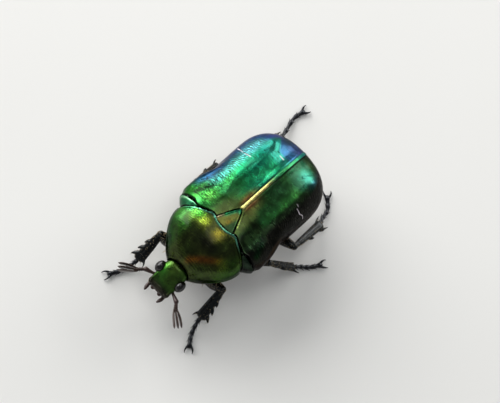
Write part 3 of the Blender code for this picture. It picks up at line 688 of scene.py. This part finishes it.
# Pronotum


def shield_half_width(y):
    run = np.maximum(SHIELD_CORNER_Y - y, 0.0) / (SHIELD_CORNER_Y - SHIELD_FRONT_Y)
    narrowing = (SHIELD_HALF_WIDTH - SHIELD_FRONT_HALF_WIDTH) * run ** 2.0
    return SHIELD_HALF_WIDTH - narrowing - 0.25 * smooth(SHIELD_CORNER_Y, -2.4, y)


def shield_top_z(y):
    run = np.clip((SHIELD_BASE_Y - y) / (SHIELD_BASE_Y - SHIELD_FRONT_Y), 0.0, 1.0)
    return mix(SHIELD_FRONT_Z, SHIELD_BASE_Z, (1.0 - run ** 2.2) ** 0.75)


def shield_colours(x, y, z):
    """Olive to dark bronze, with painted shade in the middle, painted highlights behind on the
    right and along the rim, and an orange painted reflection near the front.
    """
    reflection_streak = segment_distance(x, y, (0.1, -6.2), (2.1, -4.6))
    rim = smooth(0.20, 0.08, shield_base_y(x) - y) * smooth(4.6, 5.2, z)
    return paint(
        (50, 62, 24), x,
        # Painted shade in the middle.
        ((22, 25, 15), spot(x, 0.1, 1.6, y, -4.35, 0.7)),
        ((42, 74, 20), smooth(2.0, 3.2, np.abs(x)) * 0.8),
        ((30, 64, 20), smooth(-1.5, -2.5, x) * smooth(-3.6, -4.6, y)),
        # Painted reflection: an orange streak near the front.
        ((124, 78, 16), hump(reflection_streak, 0.0, 0.27) * 0.7),
        ((92, 100, 26), spot(x, 2.4, 0.55, y, -4.55, 0.5) * 0.7),
        # Painted highlights: yellow to lime patches behind, from the middle to the right.
        ((146, 138, 40), spot(x, 0.3, 0.5, y, -3.15, 0.5) * 0.9),
        ((176, 190, 64), spot(x, -1.5, 0.65, y, -3.25, 0.42)),
        ((112, 216, 74), spot(x, -2.4, 0.5, y, -2.95, 0.5)),
        ((52, 122, 52), smooth(-2.7, -3.4, x) * smooth(-5.2, -4.0, y) * 0.8),
        # Painted highlight: mint at the right hind edge.
        ((70, 186, 116), smooth(-2.7, -3.3, x) * smooth(-3.5, -2.95, y)),
        # Painted highlight: pale teal along the base rim.
        ((96, 168, 140), rim * fade(1.9, 3.0, x) * 0.9),
        ((52, 40, 40), smooth(4.3, 3.6, z)))


def closing_rings(ring, level, steps):
    """Smaller copies of an end ring, shrunk towards a level and moved along."""
    return [(ring - (0.0, 0.0, level)) * (shrink, 1.0, shrink) + (0.0, move, level)
            for move, shrink in steps]


def make_shield():
    t = shares(120)[:, None] ** 0.9
    nominal = mix(SHIELD_FRONT_Y, SHIELD_BASE_Y, t)
    edge_z = mix(4.0, 5.0, smooth(0.0, 0.8, t))
    c, h = ring_shape(260, 2.3)
    x = shield_half_width(nominal) * c
    z = section_z(h, shield_top_z(nominal), edge_z, mix(3.0, 2.35, smooth(0.0, 0.5, t)))
    above = smooth(edge_z - 0.6, edge_z + 0.2, z)
    front_y = SHIELD_FRONT_Y + 0.25 - 0.30 * smooth(0.0, 2.2, np.abs(x))
    base_y = mix(SHIELD_BASE_Y - 0.3, shield_base_y(x), above)
    y = mix(front_y, base_y, t)
    rings = np.stack([x, y, z], axis=2)
    centre = np.stack([np.zeros_like(t), nominal, edge_z], axis=2)
    outward = unit((rings - centre) * (1.0, 0.0, 1.0))
    back = base_y - y
    bead = (0.04 * fade(0.08, 0.15, back) - 0.035 * hump(back, 0.19, 0.05)) * above
    side_bead = 0.06 * hump(z, edge_z + 0.05, 0.10) * smooth(0.1, 0.3, t)
    rings = rings + outward * (bead + side_bead)[..., None]
    lead = closing_rings(rings[0], 4.2, ((-0.03, 0.99), (-0.05, 0.97), (-0.04, 0.94), (0.35, 0.86)))
    tail = closing_rings(rings[-1], 5.0, ((0.0, 0.995), (-0.01, 0.985), (-0.04, 0.975),
                                          (-0.09, 0.96), (-0.3, 0.9)))
    points, faces = loft(np.concatenate([lead[::-1], rings, tail]))
    x, y, z = points.T
    grain = np.maximum(spot(x, -2.0, 1.3, y, -3.3, 0.8), 0.13) * smooth(4.2, 5.4, z)
    add_mesh("pronotum", points, faces, SHIELD, "shield", ("prothorax",),
             hue=shield_colours(x, y, z), comb=grain)
    hips = Parts()
    for side in (-1.0, 1.0):
        hips.add(*ellipsoid((1.15 * side, -4.75, 2.15), (0.75, 0.8, 0.9)))
    hips.build("fore_hips", BELLY, "underside")


make_shield()


def make_scutellum():
    """Blunt triangle, slightly hollow across, with a raised edge."""
    y = mix(SCUTELLUM_BASE_Y - 0.15, -0.02, shares(60))[:, None]
    half = np.maximum(scutellum_half_width(y), 0.03) * (1.0 - 0.25 * smooth(-0.25, 0.0, y))
    c = np.linspace(-1.0, 1.0, 61)[None, :]
    x = half * c + 0.05 * np.maximum(c, 0.0)
    y = np.maximum(y * np.ones_like(c), shield_base_y(x) + 0.04)
    inward = half * (1.0 - np.abs(c))
    z = suture_z(y) + 0.05 - 0.05 * smooth(0.06, 0.20, inward) - 0.12 * smooth(0.05, 0.0, inward)
    top = np.stack([x, y, z], axis=2)
    under = top * (0.9, 1.0, 1.0) - (0.0, 0.0, 0.8)
    points, faces = loft(np.concatenate([top, under[:, ::-1]], axis=1))
    x, y, _ = points.T
    inward = scutellum_half_width(y) + x
    hue = paint(
        (84, 92, 36), x,
        ((124, 112, 24), spot(x, 0.15, 0.22, y, -1.75, 0.3)),
        # Painted shade: darker towards the left side.
        ((26, 54, 22), smooth(-0.15, 0.35, x - 0.35 * (y + 1.9))),
        # Painted highlights: teal along the right edge and a cream spot near the base.
        ((34, 128, 80), smooth(0.42, 0.12, inward) * smooth(-1.9, -1.3, y)),
        ((170, 160, 120), smooth(0.25, 0.1, inward) * smooth(-1.4, -1.8, y) * 0.8),
        ((36, 120, 76), smooth(-0.7, -0.3, y) * 0.9))
    add_mesh("scutellum_plate", points, faces, SHIELD, "scutellum", ("scutellum",), hue=hue)


make_scutellum()


def make_shoulder_plates():
    """Flat triangle that fills the gap between pronotum and wing case down to the breast."""
    rows, columns = 60, 24
    angle = np.linspace(0.75, 2.3, rows)[:, None]
    share = np.linspace(0.0, 1.35, columns)[None, :]
    x = shield_half_width(SHIELD_CORNER_Y) * signed_power(np.sin(angle), 2.0 / 2.3)
    h = signed_power(np.cos(angle), 2.0 / 2.3)
    z = section_z(h, shield_top_z(SHIELD_CORNER_Y), 5.0, 2.35)
    shown = np.minimum(share, 1.0)
    tucked = share - shown
    sunk = smooth(0.0, 0.1, tucked)
    grow = 1.0 + (0.075 + 0.12 * smooth(0.9, 1.5, angle)) * shown - 0.075 * sunk
    front = np.minimum(shield_base_y(x), SHIELD_BASE_Y) + 0.07
    rear = mix(case_front_y(x), HUMERUS_FRONT_Y, smooth(2.9, 3.4, x)) - 0.05
    y = mix(front, np.maximum(rear, front + 0.02), shown) - 0.12 * smooth(2.0, 2.3, angle)
    crown = 0.10 * np.sin(math.pi * shown) - 0.10 - 0.28 * sunk
    z = 5.0 + (z - 5.0) * (1.0 + 0.03 * shown) + crown * 0.8
    top = np.stack([x * grow + crown * 0.6, y + 1.2 * tucked, z], axis=2)
    inner = top - np.array((0.45, 0.0, 0.35)) * smooth(-0.2, 0.4, angle)[..., None]
    body = np.concatenate([top, inner[:, ::-1]], axis=1)
    across = np.append(np.tile(np.append(share, share[:, ::-1]), rows), (0.0, 0.0))
    # Painted shade: near-black strips along the plate's edges, in the gaps to the pronotum and the
    # wing case.
    painted_gap_shade = (NIGHT, np.maximum(smooth(0.96, 1.02, across), smooth(0.08, 0.02, across)))
    # The right plate carries a painted highlight along it; the left plate is painted dark as shade.
    hues = (paint((40, 116, 80), across,
                  ((150, 214, 170), hump(across, 0.78, 0.12)), painted_gap_shade),
            paint((24, 40, 26), across, painted_gap_shade))
    for name, side, hue in (("right", -1.0, hues[0]), ("left", 1.0, hues[1])):
        points, faces = loft(body * (side, 1.0, 1.0), flip=side > 0)
        add_mesh("shoulder_plate_" + name, points, faces, SHIELD, "shield",
                 ("mesepimeron_" + name,), hue=hue)


make_shoulder_plates()


# Trunk


def trunk_rings(y, bottom_z, inset=TRUNK_INSET):
    half = case_half_width(np.minimum(y, CORNER_Y)) - inset
    half = half * np.sqrt(np.maximum(1.0 - (np.maximum(y - CORNER_Y, 0.0) / 4.6) ** 2.4, 0.05))
    waist = mix(4.0, 4.2, smooth(CORNER_Y - 0.5, SUTURE_REAR_Y, y))
    c, h = ring_shape(140, 2.4)
    z = section_z(h, suture_z(y) - inset, waist, bottom_z)
    return np.stack([half * c, y * np.ones_like(c), z], axis=2)


def make_thorax():
    y = np.linspace(-2.1, 3.1, 70)
    bottom = hermite(y, (-2.1, -1.5, -0.5, 0.8, 2.0, 3.1), (2.6, 1.9, 1.45, 1.35, 1.35, 1.5))
    rings = trunk_rings(y[:, None], bottom[:, None])
    x, y, z = rings[..., 0], rings[..., 1], rings[..., 2]
    relief = -0.12 * hump(x, 0.0, 0.12) * smooth(-1.2, -0.2, y) * fade(1.5, 1.9, y)
    relief = relief - 0.08 * hump(y, 1.55, 0.08) - 0.07 * hump(np.abs(x), 2.9, 0.1)
    rings[..., 2] -= relief * smooth(3.4, 2.2, z)
    body = Parts().add(*loft(rings)).add(*ellipsoid((0.0, -1.75, 1.75), (0.45, 0.75, 0.4)))
    for side in (-1.0, 1.0):
        body.add(*ellipsoid((1.3 * side, -0.95, 1.75), (1.0, 0.8, 0.75)))
        body.add(*ellipsoid((1.5 * side, 2.25, 1.75), (1.6, 0.72, 0.7)))
    body.build("breast", BELLY, "underside", ("thorax",))


def make_abdomen():
    """Belly rings, each stepped over the next."""
    start, end, rings_count = 3.1, 8.5, 6
    y = np.linspace(start, end, 150)[:, None]
    phase = ((y - start) / ((end - start) / rings_count)) % 1.0
    step = 0.10 * fade(0.0, 0.12, phase) + 0.05 * smooth(0.9, 1.0, phase)
    rise = 2.1 * smooth(5.2, 9.4, y) ** 1.2
    rings = trunk_rings(y, 1.55 + rise + step, TRUNK_INSET + step)
    add_mesh("belly", *loft(rings), BELLY, "underside", ("abdomen",))


def make_hind_plate():
    points, faces = ellipsoid((0.0, 8.12, 3.98), (2.6, 0.98, 1.28), -0.35, 90, 150)
    x, y, z = points.T
    spots = np.zeros_like(x)
    for centre_x, centre_z, size in ((0.85, 3.9, 0.32), (1.7, 4.1, 0.24)):
        away = np.hypot(np.abs(x) - centre_x, (z - centre_z) * 0.8)
        spots = np.maximum(spots, fade(size * 0.4, size, away))
    add_mesh("hind_plate", points, faces, PLATE, "underside", ("pygidium",),
             hue=paint((58, 74, 38), x), chalk=spots * (0.85 * (y > 8.2)))


make_thorax()
make_abdomen()
make_hind_plate()


# Head


def make_head():
    # Share of the length, half width, top and bottom
    stations = np.array(((0.0, 1.16, 4.92, 2.75), (0.12, 1.22, 4.98, 2.62),
                         (0.35, 1.26, 4.72, 2.55), (0.55, 1.22, 4.30, 2.60),
                         (0.75, 1.18, 3.82, 2.66), (0.93, 1.16, 3.42, 2.74),
                         (1.0, 1.02, 3.22, 2.86)))
    t = shares(110)
    half, top, bottom = hermite(t, stations[:, 0], stations[:, 1:]).T[..., None]
    t = t[:, None]
    c, h = ring_shape(160, 2.8)
    x = half * c
    z = section_z(h, top, mix(top, bottom, 0.55), bottom)
    y = mix(HEAD_REAR_Y + 0.35, CLYPEUS_FRONT_Y, t) + 0.16 * t ** 4 * hump(x, 0.0, 0.45)
    relief = 0.10 * hump(x, 0.0, 0.22) * hump(y, -8.2, 0.7)
    relief += 0.16 * smooth(0.35, 0.05, half - np.abs(x)) * smooth(0.5, 0.8, t)
    relief += 0.22 * smooth(0.88, 0.99, t)
    relief -= 0.10 * hump(np.abs(x), 0.7, 0.35) * hump(y, -8.7, 0.5)
    points, faces = loft(np.stack([x, y, z + relief * smooth(0.2, 0.8, h)], axis=2))
    x, y, z = points.T
    hue = paint((58, 88, 32), x,
                ((46, 44, 34), smooth(-8.6, -9.2, y)),
                # Painted highlight beside the right eye.
                ((96, 170, 60), spot(x, -1.1, 0.5, y, -7.9, 0.5)),
                ((44, 36, 34), smooth(3.2, 2.8, z)))
    add_mesh("head_capsule", points, faces, HEAD, "head", ("head",), hue=hue)


def make_eyes():
    for name, side in (("right", -1.0), ("left", 1.0)):
        globe = ellipsoid((1.26 * side, -7.85, 3.95), (0.44, 0.58, 0.62), rows=70, columns=90)
        add_mesh("eye_globe_" + name, *globe, EYE, "eye", ("eye_" + name,))


def make_mouth():
    mouth = Parts().add(*ellipsoid((0.0, -8.35, 2.5), (0.75, 0.8, 0.55)))
    mouth.add(*ellipsoid((0.0, -8.95, 2.62), (0.8, 0.35, 0.3)))
    s = shares(12)
    for side in (-1.0, 1.0):
        joints = (((0.5, -8.5, 2.35), (0.8, -8.85, 2.12), 0.14, 0.17),
                  ((0.8, -8.85, 2.12), (0.92, -9.2, 2.02), 0.15, 0.19),
                  ((0.92, -9.2, 2.02), (0.8, -9.75, 2.05), 0.19, 0.13))
        for start, end, thin, thick in joints:
            start, end = np.array((start, end)) * (side, 1, 1)
            sizes = 2.0 * (mix(thin, thick, s) * (0.75 + 0.35 * np.sin(math.pi * s) ** 0.7))
            mouth.add(*tube(mix(start, end, s[:, None]), sizes, sizes, 18, 2.0, 3))
        mouth.add(*ellipsoid((0.42 * side, -8.95, 2.35), (0.28, 0.45, 0.22)))
    mouth.build("mouth", FEELER, "feeler", ("mouthparts",))


def make_antenna(name, side, sweep):
    """A bent feeler: shaft, six beads and a club of three plates."""
    root = vec(1.36 * side, -8.58, 3.25)
    elbow = root + vec(0.62 * side, -0.28, 0.12)
    end = elbow + vec(0.62 * side, -0.72 - sweep, 0.16)
    s = shares(24)
    sizes = mix(0.26, 0.46, s ** 1.5)
    shaft = mix(mix(elbow, root, 1.25), elbow, s[:, None])
    feeler = Parts().add(*tube(shaft, sizes, sizes, 24))
    beads = 6
    k = shares(10)
    for i in range(beads):
        first, last = (mix(elbow, end, (i + share) / beads) for share in (0.05, 0.95))
        bead = mix(first, last, k[:, None])
        sizes = mix(0.34, 0.44, i / (beads - 1)) * (0.62 + 0.38 * np.sin(math.pi * k ** 1.3))
        feeler.add(*tube(bead, sizes, sizes, 20, 2.0, 3))
    k = shares(40)
    wide = hermite(k, (0.0, 0.12, 0.35, 0.7, 0.92, 1.0), (0.22, 0.42, 0.66, 0.72, 0.5, 0.2))
    thick = hermite(k, (0.0, 0.2, 0.6, 0.95, 1.0), (0.10, 0.14, 0.15, 0.11, 0.07))
    for fan in (-1.0, 0.0, 1.0):
        turn = np.array(Matrix.Rotation(0.10 * fan * side, 3, "Z"))
        lie = unit(turn @ (unit(end - elbow) + vec(0.35 * side, 0.0, 0.0)))
        outside = np.cross(lie, vec(0, 0, 1)) * (-side * fan)
        start = end - lie * 0.16 + outside * 0.17
        path = start + lie * (1.75 * k[:, None]) + outside * (0.05 * np.sin(math.pi * k))[:, None]
        feeler.add(*tube(path, wide, thick, 28, 2.2))
    feeler.build("feeler_" + name, FEELER, "feeler", ("antenna_" + name,))


make_head()
make_eyes()
make_mouth()
make_antenna("right", -1.0, 0.1)
make_antenna("left", 1.0, 0.0)


# Legs

# Places along the shin and reach of its teeth; places across its end and reach of its spurs
FORE_TEETH = ((0.42, 0.22), (0.68, 0.30), (0.93, 0.36))
MIDDLE_TEETH = ((0.55, 0.12),)
HIND_TEETH = ((0.55, 0.18), (0.95, 0.14))
FORE_SPUR = ((-0.37, 0.55),)
SPURS = ((0.37, 0.62), (-0.37, 0.72))
# Root, knee, ankle, three points of the foot; width of the shin's end, teeth, spurs
LEGS = {
    "fore_right": (
        ((-1.85, -4.95, 1.45), (-3.42, -5.45, 3.0), (-3.2, -7.75, 0.95),
         (-3.3, -8.7, 0.3), (-3.55, -9.6, 0.0), (-4.0, -10.6, 0.0)), 1.05, FORE_TEETH, FORE_SPUR),
    "fore_left": (
        ((1.85, -4.85, 1.45), (3.95, -4.75, 2.95), (4.35, -7.2, 0.95),
         (4.6, -8.1, 0.3), (5.0, -8.95, 0.0), (5.6, -9.75, 0.0)), 1.05, FORE_TEETH, FORE_SPUR),
    "middle_right": (
        ((-2.0, -0.85, 0.85), (-4.75, 0.4, 3.1), (-4.65, 3.5, 1.0),
         (-4.3, 4.5, 0.3), (-3.95, 5.45, 0.0), (-3.7, 6.4, 0.0)), 0.85, MIDDLE_TEETH, SPURS),
    "middle_left": (
        ((2.0, -0.85, 0.85), (5.0, 0.1, 3.1), (6.6, 2.2, 0.95),
         (7.1, 3.0, 0.3), (7.7, 3.75, 0.0), (8.2, 4.65, 0.0)), 0.85, MIDDLE_TEETH, SPURS),
    "hind_right": (
        ((-2.1, 2.9, 0.95), (-4.1, 6.05, 2.55), (-2.75, 9.7, 1.0),
         (-2.88, 10.9, 0.3), (-3.28, 12.45, 0.0), (-3.15, 13.6, 0.0)), 0.9, HIND_TEETH, SPURS),
    "hind_left": (
        ((2.1, 2.65, 0.95), (5.45, 3.1, 2.65), (5.5, 6.85, 1.0),
         (5.2, 7.8, 0.3), (4.95, 8.8, 0.0), (4.1, 9.6, 0.0)), 0.9, HIND_TEETH, SPURS),
}
SOLE_HEIGHT = 0.15


def along_curve(points, t):
    spans = len(points) - 1
    index = min(int(t * spans), spans - 1)
    local = t * spans - index
    start, end = points[index], points[index + 1]
    before, after = points[max(index - 1, 0)], points[min(index + 2, spans)]
    return 0.5 * (2.0 * start + (end - before) * local
                  + (2.0 * before - 5.0 * start + 4.0 * end - after) * local ** 2
                  + (3.0 * start - before - 3.0 * end + after) * local ** 3)


def make_thigh(name, root, knee):
    s = shares(60)
    shape = hermite(s, (0.0, 0.06, 0.2, 0.42, 0.7, 0.9, 1.0),
                    (0.50, 0.62, 0.72, 1.0, 0.92, 0.66, 0.46))
    path = mix(root, knee, s[:, None])
    thigh = tube(path, 1.35 * shape, 0.95 * mix(0.35, 1.0, shape), 44, 2.3, 6)
    add_mesh("thigh_" + name, *thigh, LEG, "leg", ("femur_" + name,))


def make_shin(name, knee, ankle, outer, end_width, teeth, spurs):
    """A flat shin with two keels, teeth along its outer edge, spurs and bristles at its end."""
    along = unit(ankle - knee)
    start = knee - along * 0.05
    s = shares(70)
    neck = 1.0 - 0.12 * hump(s, 0.12, 0.07)
    widths = mix(0.56, end_width, s ** (0.5 if name.startswith("fore") else 1.1)) * neck
    depths = mix(0.52, 0.62, s) * neck
    middle = mix(start, ankle, s[:, None])
    shin = Parts().add(*tube(middle, widths, depths, 40, 2.6, 5, outer))
    inner = np.cross(along, outer)
    lift = inner * math.copysign(1.0, inner[2])
    for shift, size in ((0.10, 0.17), (-0.22, 0.12)):
        path = middle + outer * (widths * shift)[:, None] + lift * (depths * 0.5 - 0.05)[:, None]
        keel = np.full(len(path) - 8, size)
        shin.add(*tube(path[4:-4], keel, keel * 1.3, 12, 2.0, 3, outer))
    for t, reach in teeth:
        centre = mix(start, ankle, t)
        half = mix(0.56, end_width, t ** 1.1) / 2.0
        base = centre + outer * (half - 0.24) - along * 0.14
        tip = centre + outer * (half + reach) + along * 0.30
        shin.add(*cone(base, tip, 0.27, 0.05, (outer - along * 0.3) * 0.06, 16))
    for share, reach in spurs:
        base = ankle + outer * (share * end_width) - along * 0.12
        tip = ankle + outer * (share * end_width * 1.9) + along * reach
        shin.add(*cone(base, tip, 0.11, 0.03, outer * (0.05 * np.sign(share)), 12))
    bristles = 9
    for k in range(bristles):
        turn = 2.0 * math.pi * k / bristles
        rim = outer * (math.cos(turn) * end_width * 0.42) + inner * (math.sin(turn) * 0.26)
        shin.add(*cone(ankle + rim - along * 0.03, ankle + rim * 1.12 + along * 0.2, 0.045, 0.012,
                       count=6, steps=4))
    shin.build("shin_" + name, LEG, "leg", ("tibia_" + name,))


def make_foot(name, points):
    """Five joints, each a flared bell with four hairs, then two curved claws."""
    foot = Parts()
    joints = 5
    s = shares(16)
    grow = hermite(s, (0.0, 0.12, 0.45, 0.85, 1.0), (0.66, 0.72, 0.76, 1.0, 0.86))
    for j in range(joints):
        path = np.array([along_curve(points, (j + mix(-0.06, 0.97, k)) / joints)
                         if (j or k > 0.06) else along_curve(points, 0.0) for k in s])
        width = (0.506 if j == joints - 1 else 0.46) * grow
        foot.add(*tube(path + 1e-6 * s[:, None], width, width * 0.95, 26, 2.1))
        heading = unit(path[-1] - path[-4])
        across = unit(np.cross(heading, vec(0, 0, 1)))
        for turn in (-1.0, -0.4, 0.4, 1.0):
            base = path[-2] + across * (0.17 * turn) - vec(0, 0, 0.08)
            tip = base + heading * 0.26 + across * (0.12 * turn) - vec(0, 0, 0.03)
            tip[2] = max(tip[2], 0.03)
            foot.add(*cone(base, tip, 0.035, 0.01, count=5, steps=3))
    heading = unit(points[-1] - points[-2])
    across = unit(np.cross(heading, vec(0, 0, 1)))
    for turn in (-1.0, 1.0):
        root = points[-1] - heading * 0.05 + across * (0.10 * turn) + vec(0, 0, 0.03)
        tip = points[-1] + heading * 0.64 + across * (0.36 * turn)
        tip[2] = 0.06
        foot.add(*cone(root, tip, 0.12, 0.025, vec(0, 0, 0.10) + across * (0.10 * turn), 12, 14))
    foot.points[:, 2] = np.maximum(foot.points[:, 2], 0.0)
    foot.build("foot_" + name, FOOT, "leg", ("tarsus_" + name,))


for leg_name, (places, end_width, teeth, spurs) in LEGS.items():
    root, knee, ankle, *toes = np.array(places)
    make_thigh(leg_name, root, knee)
    shin_along = unit(ankle - knee)
    outward = vec(math.copysign(1.0, root[0]), 0.0, 0.35 if leg_name.startswith("fore") else 0.0)
    outer_side = unit(outward - shin_along * (outward @ shin_along))
    make_shin(leg_name, knee, ankle, outer_side, end_width, teeth, spurs)
    soles = [toe + (0.0, 0.0, SOLE_HEIGHT) for toe in toes]
    make_foot(leg_name, [ankle + shin_along * 0.12] + soles)


# Hairs

HAIR_RADIUS = 0.02
HAIR_BEND = 0.45
PATCH_SIZE = 0.003


def add_coat(name, roots, aims, bends, lengths, places):
    """Thin tapered tufts; places are their roots' spots on an unwrap of the skin, 0 to 1."""
    side = unit(np.cross(aims, bends) + 1e-9)
    other = np.cross(aims, side)
    bends = bends * (lengths * HAIR_BEND)[:, None]
    rings = []
    for t in (0.0, 0.35, 0.7):
        spine = roots + aims * (lengths * t)[:, None] + bends * t * t
        for angle in 2.0 * math.pi * np.arange(3) / 3.0:
            thick = HAIR_RADIUS * (1.0 - t) ** 0.8
            rings.append(spine + (side * math.cos(angle) + other * math.sin(angle)) * thick)
    rings.append(roots + aims * lengths[:, None] + bends)
    points = np.stack(rings, axis=1).reshape(-1, 3)
    pattern = [(0, 2, 1)]
    pattern += [(k, m, m + 3, k + 3) for k, m in ((0, 1), (1, 2), (2, 0), (3, 4), (4, 5), (5, 3))]
    pattern += [(6, 7, 9), (7, 8, 9), (8, 6, 9)]
    faces = [tuple(i * len(rings) + j for j in face) for i in range(len(roots)) for face in pattern]
    coat = add_mesh(name, points, faces, HAIR, "")
    steps = [(turn / 3.0, level / 3.0) for level in range(3) for turn in range(3)] + [(0.5, 1.0)]
    spots = (places[:, None, :] * 0.99 + np.array(steps) * PATCH_SIZE).reshape(-1, 2)
    corners = np.empty(len(coat.data.loops), np.int32)
    coat.data.loops.foreach_get("vertex_index", corners)
    layer = coat.data.uv_layers.new(name="OFBake")
    layer.data.foreach_set("uv", spots[corners].astype(np.float32).ravel())


def grow_coat(skin, start, end, count, length, lie, chosen):
    """Hairs spread over the chosen part of a skin, their roots sunk in it."""
    rng = np.random.default_rng(SEED + len(skin) * 31 + count)
    polygons = bpy.data.objects[skin].data.polygons
    centres, normals, areas = (np.empty(len(polygons) * width) for width in (3, 3, 1))
    for key, values in (("center", centres), ("normal", normals), ("area", areas)):
        polygons.foreach_get(key, values)
    centres = centres.reshape(-1, 3) / MM - SHIFT
    normals = normals.reshape(-1, 3)
    weight = areas * chosen(centres, normals)
    picks = rng.choice(len(polygons), count, p=weight / weight.sum())
    roots, normals = centres[picks], normals[picks]
    start = np.asarray(start, float)
    reach = np.linalg.norm(end - start)
    axis = (end - start) / reach
    across = unit(np.cross(axis, (0, 0, 1) if abs(axis[2]) < 0.9 else (1, 0, 0)))
    arm = roots - start
    around = np.arctan2(arm @ np.cross(axis, across), arm @ across) / (2.0 * math.pi) + 0.5
    places = np.clip(np.stack([around, arm @ axis / reach], axis=1), 0.0, 1.0)
    aims = unit(normals + 0.7 * np.asarray(lie) + rng.normal(0.0, 0.22, roots.shape))
    bends = unit(lie + rng.normal(0.0, 0.15, roots.shape))
    lengths = length * rng.uniform(0.6, 1.2, count)
    low = roots[:, 2] + (aims[:, 2] + HAIR_BEND * bends[:, 2]) * lengths
    lengths = np.where(low < 0.1, lengths * 0.4, lengths)
    add_coat("coat_" + skin, roots - normals * 0.04, aims, bends, lengths, places)


def flank(c, n):
    return smooth(4.6, 3.6, c[:, 2]) * smooth(0.2, 0.7, np.abs(n[:, 0])) * (np.abs(n[:, 1]) < 0.8)


grow_coat("breast", (0, -2.1, 3.5), (0, 3.1, 3.5), 900, 0.55, (0.0, 0.6, -0.35),
          lambda c, n: 0.25 * (c[:, 2] < 2.4) + flank(c, n))
grow_coat("belly", (0, 3.1, 3.5), (0, 8.5, 3.5), 500, 0.3, (0.0, 0.8, -0.1), flank)
grow_coat("pronotum", (0, -7.0, 4.2), (0, -2.4, 4.2), 320, 0.4, (0.0, -0.2, -0.5),
          lambda c, n: smooth(4.1, 3.4, c[:, 2]) * (np.abs(n[:, 1]) < 0.7))
grow_coat("head_capsule", (0, -7.0, 3.5), (0, -9.3, 3.5), 120, 0.25, (0.0, -0.6, -0.2),
          lambda c, n: smooth(3.6, 3.0, c[:, 2]) * (np.abs(n[:, 0]) > 0.3))
for leg_name, (places, *_) in LEGS.items():
    root, knee, ankle = np.array(places[:3])
    grow_coat("thigh_" + leg_name, root, knee, 150, 0.38, unit(knee - root) * 0.5 - vec(0, 0, 0.4),
              lambda c, n: (n[:, 2] < -0.1) * (np.linalg.norm(c - root, axis=1) > 0.9) + 0.02)
    grow_coat("shin_" + leg_name, knee, ankle, 170, 0.34, unit(ankle - knee),
              lambda c, n: smooth(0.2, 0.8, n[:, 0] * -np.sign(root[0])) + 0.08)


# Floor, light and camera


def make_floor(reach=1.5):
    g = Graph("pale_floor")
    colour = g.mix("MIX", g.noise(30.0), (0.76, 0.75, 0.72, 1.0), (0.80, 0.79, 0.76, 1.0))
    mesh = bpy.data.meshes.new("floor")
    corners = [(x * reach, y * reach, 0.0) for x, y in ((-1, -1), (1, -1), (1, 1), (-1, 1))]
    mesh.from_pydata(corners, [], [(0, 1, 2, 3)])
    mesh.materials.append(g.finish(Base_Color=colour, Roughness=0.85, Specular_IOR_Level=0.2))
    floor = place_object("floor", mesh)


def add_softbox(name, place, size, power, target=(0.0, 0.0, 0.004)):
    data = bpy.data.lights.new(name, "AREA")
    data.shape = "RECTANGLE"
    data.size, data.size_y = size
    data.energy = power
    lamp = place_object(name, data)
    lamp.location = place
    lamp.rotation_euler = (Vector(target) - Vector(place)).to_track_quat("-Z", "Y").to_euler()


def make_camera():
    """Long lens from behind and above the head, turned so that the beetle lies aslant."""
    tilt, lean, roll = math.radians(20.0), math.radians(2.5), math.radians(-47.8)
    lens, sensor, frame_width = 300.0, 36.0, 44.25
    back = Vector((math.sin(lean), -math.sin(tilt) * math.cos(lean),
                   math.cos(tilt) * math.cos(lean)))
    ahead = Vector((0.0, 1.0, 0.0))
    ahead = (ahead - back * ahead.dot(back)).normalized()
    right = ahead.cross(back)
    across = right * math.cos(roll) - ahead * math.sin(roll)
    up = right * math.sin(roll) + ahead * math.cos(roll)
    centre = Vector((0.0, 0.0, 7.9)) + across * 0.7345 + up * 0.655
    place = (centre + back * (lens * frame_width / sensor) + Vector(SHIFT)) * MM
    data = bpy.data.cameras.new("camera")
    data.lens, data.sensor_width = lens, sensor
    data.clip_start, data.clip_end = 0.01, 10.0
    camera = place_object("camera", data)
    turn = Matrix((across, up, back)).transposed().to_4x4()
    camera.matrix_world = Matrix.Translation(place) @ turn
    bpy.context.scene.camera = camera


make_floor()
add_softbox("key_right", (-0.42, 0.06, 0.18), (0.6, 0.36), 4.0)
add_softbox("tail_soft", (0.02, 0.45, 0.16), (0.4, 0.26), 1.5)
add_softbox("overhead", (-0.05, 0.02, 0.6), (0.3, 0.3), 0.5)
world = bpy.data.worlds.new("studio")
world.use_nodes = True
sky = world.node_tree.nodes["Background"].inputs
sky["Color"].default_value = (0.9, 0.95, 1.0, 1.0)
sky["Strength"].default_value = 0.24
bpy.context.scene.world = world
bpy.context.scene.view_settings.view_transform = "Standard"
make_camera()
